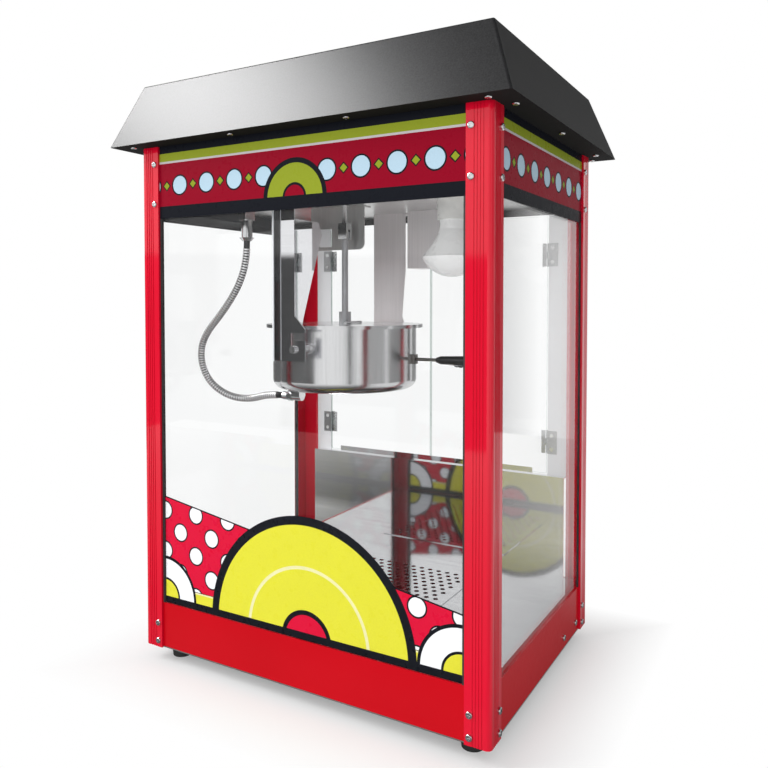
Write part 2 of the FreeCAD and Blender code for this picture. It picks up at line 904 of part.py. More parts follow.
def hinge_leaf(name, sx, way, low, spans, width):
    """One leaf on the outside face: a plate, its tabs and knuckles, bored for the pin."""
    pivot = sx * hinge_x
    clear = D.hinge_knuckle_radius + D.hinge_slit
    sheet_span = (door_outside, door_outside + D.hinge_gauge)

    def across(near_end, far_end):
        ends = (pivot + way * near_end, pivot + way * far_end)
        return ends if way > 0 else (ends[1], ends[0])

    pieces = [box(f"{name}_plate", across(clear, clear + width), sheet_span, (low, low + D.hinge_height))]
    for i, span in enumerate(spans):
        length = span[1] - span[0]
        pieces.append(box(f"{name}_tab{i}", across(ZERO, clear), sheet_span, span))
        pieces.append(rod(f"{name}_knuckle{i}", "Z", D.hinge_knuckle_radius, (pivot, hinge_y, span[0]), length))
    bore_radius = D.hinge_pin_radius + D.hinge_play
    bore = rod(f"{name}_bore", "Z", bore_radius, (pivot, hinge_y, low - 1), D.hinge_height + 2)
    rivets = [
        rod(
            f"{name}_rivet{i}", "Y", D.hinge_gauge * 1.6,
            (pivot + way * (clear + width * 0.55), door_outside, low + D.hinge_height * share),
            D.hinge_gauge * 1.8,
        )
        for i, share in enumerate((0.22, 0.78))
    ]
    return fuse(name, cut(f"{name}_bored", fuse(f"{name}_blank", *pieces), bore), *rivets)


def hinge_plate(name, sx, low):
    """Backing plate on the inside face of a jamb, with two round rivet heads."""
    gauge = D.hinge_gauge
    plate = box(f"{name}_sheet", mirror((jamb_inner_x + D.panel_gap, jamb_inner_x + D.hinge_plate), sx),
                (jamb_inside - gauge, jamb_inside), (low, low + D.hinge_height))
    heads = [
        rod(
            f"{name}_head{i}", "Y", gauge * 2.4,
            (sx * (jamb_inner_x + D.hinge_plate * 0.45), jamb_inside - gauge * 1.8, low + D.hinge_height * share),
            gauge,
        )
        for i, share in enumerate((0.2, 0.8))
    ]
    return fuse(name, plate, *heads)


def build_doors():
    """Two clear rear doors, their jambs, hinges and knobs."""
    door_low = sill_top + D.door_edge_gap
    door_high = rear_panel_bottom - D.door_edge_gap
    hinge_lows = {"low": door_low + D.hinge_end_distance - D.hinge_height / 2,
                  "high": door_high - D.hinge_top_distance - D.hinge_height / 2}
    jamb_heights = (sill_top, rear_panel_bottom - D.panel_gap)
    jambs, fixed = [], []
    for side, sx in SIDES.items():
        jambs.append(box(f"{side}_jamb", mirror((jamb_inner_x, jamb_outer_x), sx), (jamb_inside, door_outside),
                         jamb_heights))
        span = mirror((D.door_meeting_gap / 2, jamb_inner_x - D.door_gap), sx)
        part(box(f"{side}_door", span, (door_inside, door_outside), (door_low, door_high)))
        moving = []
        for place, low in hinge_lows.items():
            thirds = knuckle_thirds(low)
            outer, inner = [thirds[0], thirds[2]], [thirds[1]]
            fixed.append(hinge_leaf(f"jamb_leaf_{side}_{place}", sx, sx, low, outer, D.hinge_leaf))
            moving.append(hinge_leaf(f"door_leaf_{side}_{place}", sx, -sx, low, inner, D.door_leaf))
            fixed.append(rod(f"hinge_pin_{side}_{place}", "Z", D.hinge_pin_radius, (sx * hinge_x, hinge_y, low),
                             D.hinge_height))
            fixed.append(hinge_plate(f"hinge_plate_{side}_{place}", sx, low))
        part(group(f"{side}_door_leaves", moving))
        radius, length = D.knob_radius, D.knob_length
        profile = [
            (ZERO, ZERO), (radius * 0.75, ZERO), (radius * 0.5, length * 0.2), (radius * 0.5, length * 0.45),
            (radius * 0.85, length * 0.6), (radius, length * 0.8), (radius * 0.75, length), (ZERO, length),
        ]
        knob_level = (door_low + door_high) / 2 - D.knob_drop
        part(turned(f"{side}_door_knob", profile, (sx * D.knob_inset, door_outside, knob_level), "Y"))
    part(group("door_jambs", jambs))
    part(group("jamb_hinges", fixed))


def hook_slot(body, name, web):
    """Open slot from the right edge in to the pin seat, round at the bottom."""
    half = D.trunnion_radius + D.pin_play
    entry_low = pivot_z + D.slot_rise
    shape = [
        (pivot_x - half, pivot_z),
        (pivot_x + half, pivot_z),
        (pivot_x + half, entry_low),
        (pivot_x + D.hook_right + 1, entry_low),
        (pivot_x + D.hook_right + 1, entry_low + 2 * half),
        (pivot_x - half, entry_low + 2 * half),
    ]
    pocket(body, name + "_slot", "Y", web, shape)
    pocket(body, name + "_seat", "Y", web, ((pivot_x, pivot_z), half))


def build_hangers():
    """Front hanger with a tapered side flange and rear hanger with a tapered web, hooked for the trunnions."""
    hook_low = pivot_z - D.hook_below
    shoulder = pivot_z + D.hook_above
    left = pivot_x - D.hanger_left
    right = pivot_x + D.hanger_right
    hook_x = pivot_x + D.hook_right
    flange_low = shoulder + D.hook_right - D.hanger_right

    web = (-hanger_y - D.hanger_gauge, -hanger_y)
    front = new_body("front_kettle_hanger")
    pad(front, "front_web", "Y", web, [
        (left, hook_low), (hook_x, hook_low), (hook_x, shoulder), (right, flange_low), (right, ceiling_z),
        (left, ceiling_z),
    ])
    hook_slot(front, "front_hook", web)
    flange_top = ceiling_z - D.blade_flange_drop
    reach = -hanger_y + D.blade_flange_depth
    pad(front, "front_flange", "X", (right - D.hanger_gauge, right), [
        (-hanger_y, flange_low - D.blade_tip_drop),
        (-rim_radius - D.blade_tip_clear, flange_low - D.blade_tip_drop),
        (-rim_radius - D.blade_tip_clear / 3, flange_low - D.blade_tip_drop / 6),
        (reach, flange_top - D.blade_flange_foot * 2),
        (reach - D.blade_flange_foot, flange_top),
        (-hanger_y, flange_top),
    ])
    lip = (-hanger_y - D.hanger_gauge - D.hanger_lip, -hanger_y - D.hanger_gauge)
    pad(front, "front_lip", "Y", lip, [
        (left, hook_low), (left + D.hanger_gauge, hook_low), (left + D.hanger_gauge, ceiling_z), (left, ceiling_z),
    ])
    pad(front, "front_tab", "Z", (ceiling_z - D.hanger_gauge, ceiling_z), [
        (left, -hanger_y - D.hanger_gauge - D.hanger_tab), (right, -hanger_y - D.hanger_gauge - D.hanger_tab),
        (right, -hanger_y), (left, -hanger_y),
    ])
    part(front)

    web = (hanger_y, hanger_y + D.hanger_gauge)
    left = pivot_x - D.rear_hanger_left
    rear = new_body("rear_kettle_hanger")
    wide = hook_x + D.hanger_gauge
    waist = hook_x - D.hanger_gauge * 2
    pad(rear, "rear_web", "Y", web, [
        (left, hook_low), (hook_x, hook_low), (hook_x, shoulder), (waist, shoulder + D.slot_rise),
        (wide, ceiling_z - D.guard_drop - D.hook_above), (wide, ceiling_z), (left, ceiling_z),
    ])
    hook_slot(rear, "rear_hook", web)
    pad(rear, "rear_lip", "Y", (hanger_y + D.hanger_gauge, hanger_y + D.hanger_gauge + D.hanger_lip), [
        (left, hook_low), (left + D.hanger_gauge, hook_low), (left + D.hanger_gauge, ceiling_z), (left, ceiling_z),
    ])
    pad(rear, "rear_tab", "Z", (ceiling_z - D.hanger_gauge, ceiling_z), [
        (left, hanger_y), (wide, hanger_y), (wide, hanger_y + D.hanger_gauge + D.hanger_tab),
        (left, hanger_y + D.hanger_gauge + D.hanger_tab),
    ])
    part(rear)


def build_bowl():
    """Spun bowl with a flat rim, the pan that is its inner floor and the element under the pan."""
    wall = D.bowl_wall
    radius = D.bowl_radius
    height = D.bowl_height
    bowl = turned("kettle_bowl", [
        (ZERO, ZERO), (radius, ZERO), (radius, height - D.rim_gauge), (rim_radius, height - D.rim_gauge),
        (rim_radius, height), (radius - wall, height), (radius - wall, wall), (ZERO, wall),
    ], (kettle_x, ZERO, bowl_bottom))

    def ring(size, level):
        def wanted(edge):
            middle = edge.BoundBox.Center
            round_edge = hasattr(edge.Curve, "Radius") and near(edge.Curve.Radius, size)
            return round_edge and near(middle.z, level)
        return wanted

    round_edges(bowl, "bowl_round_out", D.bowl_round, ring(radius, ZERO))
    round_edges(bowl, "bowl_round_in", D.bowl_round - wall, ring(radius - wall, wall))
    part(bowl)
    part(rod("kettle_floor_pan", "Z", radius - wall - D.fit_gap, (kettle_x, ZERO, pan_level), wall))
    element = doc.addObject("Part::Torus", "heating_element")
    bind(element, Radius1=D.element_radius, Radius2=D.element_tube)
    put(element, kettle_x, ZERO, pan_level - D.element_tube - D.fit_gap)
    part(element)


def bowl_outside(name):
    """The bowl's outside, as a tool that shapes what seats on its wall."""
    size = D.bowl_radius + D.fit_gap
    return rod(name, "Z", size, (kettle_x, ZERO, bowl_bottom), D.bowl_height)


def build_trunnions():
    """Two pins with saddle bosses on the bowl's wall, through the hanger hooks."""
    pins = []
    length = hanger_y + D.hanger_gauge + D.trunnion_end
    for end, sy in ENDS.items():
        base = D.bowl_radius / 2
        boss_length = D.bowl_radius + D.trunnion_boss_length - base
        if sy > 0:
            start, boss_start = base, base
        else:
            start, boss_start = -length, -base - boss_length
        pin = rod(f"trunnion_pin_{end}", "Y", D.trunnion_radius, (pivot_x, start, pivot_z), length - base)
        boss = rod(f"trunnion_boss_{end}", "Y", D.trunnion_boss_radius, (pivot_x, boss_start, pivot_z), boss_length)
        blank = fuse(f"trunnion_blank_{end}", pin, boss)
        pins.append(cut(f"trunnion_{end}", blank, bowl_outside(f"trunnion_seat_{end}")))
    part(group("kettle_trunnions", pins))


def lid_knuckle(name, span, way):
    """Knuckle of the lid hinge with its foot on the plate, before boring."""
    axis_x = kettle_x + D.flap_start
    axis_z = lid_top + D.lid_knuckle_radius
    barrel = rod(f"{name}_barrel", "Y", D.lid_knuckle_radius, (axis_x, span[0], axis_z), span[1] - span[0])
    near_end = axis_x + way * D.flap_slit
    far_end = axis_x + way * 2 * D.lid_knuckle_radius
    across = (near_end, far_end) if way > 0 else (far_end, near_end)
    foot = box(f"{name}_foot", across, span, (lid_top - D.lid_gauge / 2, axis_z))
    return [barrel, foot]


def build_lid():
    """Fixed half of the lid with its bush, and the flap that lifts on a pin."""
    axis_x = kettle_x + D.flap_start
    axis_z = lid_top + D.lid_knuckle_radius
    knuckle = D.lid_knuckle_half
    ear = D.lid_ear_length
    reach = knuckle + D.flap_slit + ear
    bore_radius = D.lid_pin_radius + D.hinge_play
    sizes = {
        "kettle_lid": (
            (kettle_x - rim_radius - 1, axis_x - D.flap_slit), -1,
            [(-reach, -knuckle - D.flap_slit), (knuckle + D.flap_slit, reach)],
        ),
        "lid_flap": ((axis_x + D.flap_slit, kettle_x + rim_radius + 1), 1, [(-knuckle, knuckle)]),
    }
    for name, (across, way, spans) in sizes.items():
        disc = rod(f"{name}_disc", "Z", rim_radius, (kettle_x, ZERO, rim_z), D.lid_gauge)
        keep = box(f"{name}_keep", across, (-rim_radius - 1, rim_radius + 1), (rim_z, lid_top))
        pieces = [common(f"{name}_plate", disc, keep)]
        for i, span in enumerate(spans):
            pieces += lid_knuckle(f"{name}_knuckle{i}", span, way)
        tools = [rod(f"{name}_bore", "Y", bore_radius, (axis_x, -reach - 1, axis_z), 2 * reach + 2)]
        if way < 0:
            hole_radius = D.bush_neck_radius + D.fit_gap
            tools.append(rod("lid_bush_hole", "Z", hole_radius, (kettle_x, ZERO, rim_z - 1), D.lid_gauge + 2))
        part(cut(name, fuse(f"{name}_blank", *pieces), *tools))
    part(rod("lid_hinge_pin", "Y", D.lid_pin_radius, (axis_x, -reach, axis_z), 2 * reach))
    bore = D.shaft_radius + D.shaft_play
    part(turned("lid_bush", [
        (bore, ZERO), (D.bush_neck_radius, ZERO), (D.bush_neck_radius, D.lid_gauge), (D.bush_radius, D.lid_gauge),
        (D.bush_radius, D.lid_gauge + D.bush_height), (bore, D.lid_gauge + D.bush_height),
    ], (kettle_x, ZERO, rim_z)))


def build_handle():
    """Square block on the bowl, thin rod and a tapered grip."""
    level = pivot_z - D.handle_drop
    wall_x = kettle_x + D.bowl_radius
    half = D.handle_block_width / 2
    side = D.handle_side
    block = box("handle_block_blank", (kettle_x + D.bowl_radius / 2, wall_x + D.handle_block),
                (side - half, side + half), (level - D.handle_block_height / 2, level + D.handle_block_height / 2))
    seated = cut("handle_block_seated", block, bowl_outside("handle_seat"))
    grip_start = wall_x + D.handle_block + D.handle_rod_length
    rod_length = grip_start + D.grip_length - wall_x - D.handle_block - D.grip_nose
    bar = rod("handle_bar", "X", D.handle_rod_radius, (wall_x + D.handle_block - D.fit_gap, side, level), rod_length)
    part(fuse("handle_rod", seated, bar))
    bore = D.handle_rod_radius + D.fit_gap
    length = D.grip_length
    part(turned("handle_grip", [
        (bore, ZERO), (D.grip_small_radius * 0.6, ZERO), (D.grip_small_radius, D.grip_nose),
        (D.grip_large_radius, length - D.grip_nose), (D.grip_large_radius * 0.7, length),
        (ZERO, length), (ZERO, length - D.grip_nose + D.fit_gap), (bore, length - D.grip_nose + D.fit_gap),
    ], (grip_start, side, level), "X"))


def build_stirrer():
    """Shaft with a flat tang on top and a scraper bar at the bottom of the bowl."""
    floor = pan_level + D.bowl_wall + D.blade_floor_gap
    top = ceiling_z - D.shaft_top_drop
    radius = D.shaft_radius
    shaft = rod("stirrer_shaft", "Z", radius, (kettle_x, ZERO, floor), top - floor)
    half = D.tang_thickness / 2
    flats = [
        box(f"tang_flat_{end}", (kettle_x - radius - 1, kettle_x + radius + 1),
            mirror((half, radius + 1), sy), (top - D.tang_height, top + 1))
        for end, sy in ENDS.items()
    ]
    bars = [
        box("stirrer_bar", (kettle_x - blade_reach, kettle_x + blade_reach),
            (-D.blade_width / 2, D.blade_width / 2), (floor, floor + D.blade_height / 3)),
        box("stirrer_web", (kettle_x - blade_reach / 2, kettle_x + blade_reach / 2),
            (-D.blade_height / 4, D.blade_height / 4), (floor, floor + D.blade_height)),
    ]
    sweep = rod("stirrer_sweep", "Z", blade_reach, (kettle_x, ZERO, floor), D.blade_height)
    blade = common("stirrer_blade", fuse("stirrer_bars", *bars), sweep)
    part(fuse("stirrer", cut("stirrer_tang", shaft, *flats), blade))


def build_drive():
    """Gear motor on the ceiling plate, fork that turns the stirrer and the guard plate behind it."""
    tang_top = ceiling_z - D.shaft_top_drop
    block_low = tang_top + D.fork_clear
    half = D.fork_size / 2
    block = box("fork_block", (kettle_x - half, kettle_x + half), (-half, half), (block_low, block_low + D.fork_block))
    slot = D.tang_thickness / 2 + D.fork_slot_play
    prongs = [
        box(f"fork_prong_{end}", (kettle_x - half, kettle_x + half), mirror((slot, half), sy),
            (block_low - D.fork_prong, block_low + D.fork_block / 2))
        for end, sy in ENDS.items()
    ]
    shaft_length = ceiling_top + D.gearbox_height - block_low - D.fork_block
    spindle = rod("fork_spindle", "Z", D.drive_shaft_radius, (kettle_x, ZERO, block_low + D.fork_block / 2),
                  shaft_length + D.fork_block / 2)
    part(fuse("drive_fork", block, *prongs, spindle))
    gearbox = rod("gearbox_can", "Z", D.gearbox_radius, (kettle_x, ZERO, ceiling_top), D.gearbox_height)
    motor = rod("motor_can", "Z", D.motor_radius, (kettle_x, ZERO, ceiling_top + D.gearbox_height), D.motor_height)
    bore = rod("gearbox_bore", "Z", D.drive_shaft_radius + D.shaft_play, (kettle_x, ZERO, ceiling_top - 1),
               D.gearbox_height + 1 + D.fit_gap)
    part(cut("gear_motor", fuse("motor_blank", gearbox, motor), bore))

    plane = (D.guard_behind, D.guard_behind + D.sheet_gauge)
    left, right = kettle_x - D.guard_left, kettle_x + D.guard_right
    low = ceiling_z - D.guard_drop
    guard = new_body("drive_guard")
    pad(guard, "guard_plate", "Y", plane, [(left, low), (right, low), (right, ceiling_z), (left, ceiling_z)])

    def low_corner(edge):
        middle = edge.CenterOfMass
        return near(middle.z, low) and near(edge.Length, D.sheet_gauge)

    round_edges(guard, "guard_round_corners", D.guard_round, low_corner)
    win_x = left + D.guard_window_left
    win_z = low + D.guard_window_low
    pocket(guard, "guard_window", "Y", plane, [
        (win_x, win_z), (win_x + D.guard_window_width, win_z),
        (win_x + D.guard_window_width, win_z + D.guard_window_height), (win_x, win_z + D.guard_window_height),
    ])
    pad(guard, "guard_tab", "Z", (ceiling_z - D.sheet_gauge, ceiling_z), [
        (left, D.guard_behind), (right, D.guard_behind), (right, D.guard_behind + D.hanger_tab),
        (left, D.guard_behind + D.hanger_tab),
    ])
    part(guard)


def build_lamp():
    """Ceiling holder and a frosted reflector bulb."""
    part(turned("lamp_holder", [
        (ZERO, ZERO), (D.lamp_holder_radius, ZERO), (D.lamp_holder_radius, D.lamp_holder_length - D.lamp_flange),
        (D.lamp_flange_radius, D.lamp_holder_length - D.lamp_flange), (D.lamp_flange_radius, D.lamp_holder_length),
        (ZERO, D.lamp_holder_length),
    ], (D.lamp_offset, ZERO, ceiling_z - D.lamp_holder_length)))
    wide, neck = float(D.bulb_radius), float(D.bulb_neck_radius)
    neck_low = -float(D.bulb_neck)
    wide_level = neck_low - float(D.bulb_flare)
    bottom = wide_level - float(D.bulb_dome)
    lean = V(wide - neck, 0, wide_level - neck_low)
    flare = V(neck, 0, neck_low) + lean * 0.55 + V(-0.12 * lean.x, 0, 0)
    dome = float(D.bulb_dome)
    dome_radius = (wide ** 2 + dome ** 2) / (2 * dome)
    half_angle = math.atan2(wide, dome_radius - dome) / 2
    belly_level = bottom + dome_radius * (1 - math.cos(half_angle))
    belly = V(dome_radius * math.sin(half_angle), 0, belly_level)
    edges = [
        Part.LineSegment(V(0, 0, 0), V(neck, 0, 0)).toShape(),
        Part.LineSegment(V(neck, 0, 0), V(neck, 0, neck_low)).toShape(),
        Part.Arc(V(neck, 0, neck_low), flare, V(wide, 0, wide_level)).toShape(),
        Part.Arc(V(wide, 0, wide_level), belly, V(0, 0, bottom)).toShape(),
        Part.LineSegment(V(0, 0, bottom), V(0, 0, 0)).toShape(),
    ]
    bulb = doc.addObject("Part::Feature", "lamp_bulb")
    bulb.Shape = Part.Face(Part.Wire(edges)).revolve(V(), V(0, 0, 1), 360)
    holder_low = float(ceiling_z - D.lamp_holder_length)
    bulb.Placement = FreeCAD.Placement(V(float(D.lamp_offset), 0, holder_low), FreeCAD.Rotation())
    part(bulb)


# Switch axis behind the rear panel, and its level midway up the panel above the ceiling plate.
switch_y = skin_front - D.switch_setback
switch_z = (ceiling_top + post_top) / 2


def switch_x(index):
    return D.switch_offset + index * D.switch_pitch


def switch_hole(index):
    """Panel cut-out that takes a switch frame."""
    half_x = D.switch_width / 2 + D.switch_side_play + D.switch_frame
    half_z = D.switch_radius + D.switch_side_play + D.switch_frame
    x = switch_x(index)
    return box(f"switch_hole_{index}", (x - half_x, x + half_x), (skin_front - 2 * D.sheet_gauge, skin_front + 1),
               (switch_z - half_z, switch_z + half_z))


def build_switches():
    """Three rocker switches in frames on the rear panel, and the box that covers the wiring."""
    frames = []
    pin_reach = D.switch_width / 2 + D.switch_side_play + D.switch_frame / 2
    for index, name in enumerate(("motor_switch", "heat_switch", "lamp_switch")):
        x = switch_x(index)
        half_x = D.switch_width / 2 + D.switch_side_play
        half_z = D.switch_radius + D.switch_side_play
        frame = D.switch_frame - D.fit_gap
        depth = (switch_y - D.switch_radius, skin_front + D.switch_frame)
        outer = box(f"{name}_frame_block", (x - half_x - frame, x + half_x + frame), depth,
                    (switch_z - half_z - frame, switch_z + half_z + frame))
        well = box(f"{name}_frame_well", (x - half_x, x + half_x), (depth[0] + D.switch_frame, depth[1] + 1),
                   (switch_z - half_z, switch_z + half_z))
        socket = rod(f"{name}_socket", "X", D.switch_pin_radius + D.hinge_play, (x - pin_reach, switch_y, switch_z),
                     2 * pin_reach)
        frames.append(cut(f"{name}_frame", outer, well, socket))

        barrel = rod(f"{name}_barrel", "X", D.switch_radius, (-D.switch_width / 2, ZERO, ZERO), D.switch_width)
        front = box(f"{name}_front", (-D.switch_width, D.switch_width), (-D.switch_frame, D.switch_radius + 1),
                    (-D.switch_radius - 1, D.switch_radius + 1))
        scoop_y = D.switch_radius - D.switch_scoop_depth + D.switch_scoop
        scoop = rod(f"{name}_scoop", "X", D.switch_scoop, (-D.switch_width, scoop_y, ZERO), 2 * D.switch_width)
        key = cut(f"{name}_key", common(f"{name}_sector", barrel, front), scoop)
        pin = rod(f"{name}_pin", "X", D.switch_pin_radius, (-pin_reach, ZERO, ZERO), 2 * pin_reach)
        rocker = fuse(name, key, pin)
        put(rocker, x, switch_y, switch_z, FreeCAD.Rotation(V(1, 0, 0), -float(D.switch_tilt_degrees)))
        part(rocker)
    part(group("switch_frames", frames))
    left, right = pivot_x + D.hook_right + D.control_left, D.control_right
    back = door_inside - D.control_door_gap
    heights = (ceiling_z - D.control_drop, ceiling_z)
    outer = box("control_block", (left, right), (back - D.control_depth, back), heights)
    gauge = D.sheet_gauge
    inner = box("control_inside", (left + gauge, right - gauge),
                (back - D.control_depth + gauge, back - gauge), (heights[0] + gauge, ceiling_z + 1))
    part(cut("control_box", outer, inner))


def build_inlet():
    """Power inlet in the rear rail: a flange outside and a recessed body through the rail."""
    x, frame = D.inlet_offset, D.switch_frame
    half = D.inlet_width / 2
    low = (rail_bottom + base_top - D.inlet_height) / 2
    flange = box("inlet_flange", (x - half, x + half), (skin_front, skin_front + frame), (low, low + D.inlet_height))
    body_half = half - frame - D.fit_gap
    body = box("inlet_body", (x - body_half, x + body_half), (skin_front - D.inlet_depth, skin_front + frame),
               (low + frame + D.fit_gap, low + D.inlet_height - frame - D.fit_gap))
    recess = box("inlet_recess_block", (x - half + 2 * frame, x + half - 2 * frame),
                 (skin_front + frame - D.inlet_recess, skin_front + frame + 1),
                 (low + 2 * frame, low + D.inlet_height - 2 * frame))
    blades = [
        box(f"inlet_blade_{i}", (x + i * half / 3 - 1, x + i * half / 3 + 1),
            (skin_front - D.inlet_recess, skin_front - frame),
            (low + D.inlet_height / 2 - frame, low + D.inlet_height / 2 + frame))
        for i in (-1, 0, 1)
    ]
    part(fuse("power_inlet", cut("inlet_shell", fuse("inlet_blank", flange, body), recess), *blades))


# Hand-chosen route of the conduit, from the ceiling connector round to the kettle gland.
CONDUIT_ROUTE = [
    (-140, -100, 566),
    (-140, -100, 545),
    (-152, -100, 509),
    (-181, -100, 472),
    (-221, -100, 434),
    (-227, -100, 400),
    (-213, -97, 369),
    (-184, -89, 350),
    (-152, -80, 347),
    (-121, -78, 356),
    (-95, -78, 356),
]
ARC_SHARE = 0.45


def route_pieces(route):
    """Straight runs and tangent arcs along a route, as (kind, length, place) where place(s) gives point, tangent."""
    points = [V(*place) for place in route]
    pieces, radii = [], []
    start = points[0]
    for before, corner, after in zip(points, points[1:], points[2:]):
        back = before - corner
        ahead = after - corner
        short = min(back.Length, ahead.Length)
        back.normalize()
        ahead.normalize()
        turn = math.pi - back.getAngle(ahead)
        trim = ARC_SHARE * short
        radius = trim / math.tan(turn / 2)
        radii.append(radius)
        arc_start = corner + back * trim
        pieces.append(("line", start, arc_start, None))
        centre = corner + (back + ahead).normalize() * (radius / math.cos(turn / 2))
        arc_end = corner + ahead * trim
        pieces.append(("arc", arc_start, arc_end, centre))
        start = arc_end
    pieces.append(("line", start, points[-1], None))
    return pieces, radii


def piece_length(piece):
    kind, start, end, centre = piece
    if kind == "line":
        return (end - start).Length
    return (start - centre).Length * (start - centre).getAngle(end - centre)


def place_on(piece, distance):
    """Point and tangent on a route piece at a distance from its start."""
    kind, start, end, centre = piece
    if kind == "line":
        along = (end - start).normalize()
        return start + along * distance, along
    first = start - centre
    last = end - centre
    axis = first.cross(last).normalize()
    angle = distance / first.Length
    side = axis.cross(first)
    point = centre + first * math.cos(angle) + side * math.sin(angle)
    tangent = (side * math.cos(angle) - first * math.sin(angle)).normalize()
    return point, tangent


def conduit_circle(point, tangent, radius):
    """Section square to the route, whose own X axis stays near the depth direction."""
    circle = Part.Circle(point, tangent, radius)
    depth = V(0, 1, 0)
    circle.XAxis = (depth - tangent * depth.dot(tangent)).normalize()
    return Part.Wire(circle.toShape())


def build_conduit():
    """Ribbed flexible conduit with its bore, its ceiling connector and its gland on the kettle."""
    pieces, radii = route_pieces(CONDUIT_ROUTE)
    lengths = [piece_length(piece) for piece in pieces]
    total = sum(lengths)

    def at(distance):
        for piece, length in zip(pieces, lengths):
            if distance <= length:
                return place_on(piece, max(distance, 0.0))
            distance -= length
        return place_on(pieces[-1], lengths[-1])

    crest, valley = float(D.conduit_radius), float(D.conduit_valley_radius)
    plain = 2 * crest
    ribs = int((total - 2 * plain) / float(D.rib_pitch))
    pitch = (total - 2 * plain) / ribs
    stations = [(0.0, valley)]
    for i in range(ribs):
        start = plain + i * pitch
        stations += [(start, valley), (start + 0.2 * pitch, crest), (start + 0.6 * pitch, crest),
                     (start + 0.8 * pitch, valley)]
    stations += [(plain + ribs * pitch, valley), (total, valley)]
    skin = Part.makeLoft([conduit_circle(*at(s), radius) for s, radius in stations], True, True)
    edges = []
    for kind, start, end, centre in pieces:
        if kind == "line":
            edges.append(Part.LineSegment(start, end).toShape())
        else:
            middle = centre + ((start + end) / 2 - centre).normalize() * (start - centre).Length
            edges.append(Part.Arc(start, middle, end).toShape())
    bore_radius = float(D.conduit_bore_radius)
    bore = Part.Wire(edges).makePipeShell([conduit_circle(*at(0.0), bore_radius)], True, True)
    conduit = doc.addObject("Part::Feature", "flex_conduit")
    conduit.Shape = skin.cut(bore)
    part(conduit)

    samples = [at(total * i / 120)[0] for i in range(121)]
    least = min(
        (a - b).Length for i, a in enumerate(samples) for b in samples[i + 12:]
    )
    print(f"conduit: length {total:.1f}, ribs {ribs}, radii {[round(r, 1) for r in radii]}")
    print(f"conduit: least gap to itself {least - 2 * crest:.1f}, bore volume {bore.Volume:.1f}"
          f" against {math.pi * bore_radius ** 2 * total:.1f}, solid volume {conduit.Shape.Volume:.1f}")

    x, y = -D.conduit_side, -D.conduit_forward
    nut_low = ceiling_z - D.connector_nut_height
    low = ceiling_z - D.connector_length
    collar = D.connector_nut_height / 2
    part(fuse(
        "conduit_ceiling_connector",
        hexagon("connector_nut", "Z", D.connector_nut_radius, (x, y, nut_low), D.connector_nut_height),
        rod("connector_barrel", "Z", D.connector_radius, (x, y, low + collar), D.connector_length - collar),
        cone("connector_collar", "Z", D.connector_radius * 0.8, D.connector_collar_radius, (x, y, low), collar),
        hexagon("connector_lock", "Z", D.connector_lock_radius, (x, y, low + D.connector_lock_rise),
                D.connector_lock_height),
    ))
    gland_z = bowl_bottom - D.gland_drop
    gland_y = D.gland_inset + D.bowl_round - D.bowl_radius
    end_x = -D.gland_end_side
    barrel = rod("gland_barrel", "X", D.gland_radius, (end_x, gland_y, gland_z), D.gland_length)
    nut = hexagon("gland_nut", "X", D.gland_nut_radius, (end_x + D.gland_nut_length, gland_y, gland_z),
                  D.gland_nut_length)
    saddle_end = end_x + D.gland_length
    half = D.gland_saddle / 2
    saddle = box("gland_saddle_block", (saddle_end - D.gland_saddle, saddle_end), (gland_y - half, gland_y + half),
                 (gland_z, bowl_bottom))
    part(fuse("conduit_kettle_gland", barrel, nut, saddle))


def build():
    screw_holes = build_screws()
    build_base(screw_holes)
    build_posts(screw_holes)
    build_header()
    build_roof(screw_holes)
    build_glazing()
    build_floor()
    build_drawer()
    build_doors()
    build_hangers()
    build_bowl()
    build_trunnions()
    build_lid()
    build_handle()
    build_stirrer()
    build_drive()
    build_lamp()
    build_switches()
    build_inlet()
    build_conduit()
    doc.recompute()


def check_and_write():
    """Stop on any failed object or bad shape, then write one file per sub-part."""
    for obj in doc.Objects:
        if "Invalid" in obj.State or "Error" in obj.State:
            raise RuntimeError(f"{obj.Name} failed: {obj.State}")
    for obj in PARTS:
        if obj.Shape.isNull() or not obj.Shape.isValid() or not obj.Shape.Solids:
            raise RuntimeError(f"{obj.Label} has no valid solid")
    os.makedirs("parts", exist_ok=True)
    for obj in PARTS:
        obj.Shape.exportStep(f"parts/{obj.Label}.step")
    print(f"{len(PARTS)} sub-parts, {sum(len(obj.Shape.Solids) for obj in PARTS)} solids")


build()
check_and_write()
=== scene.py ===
import math

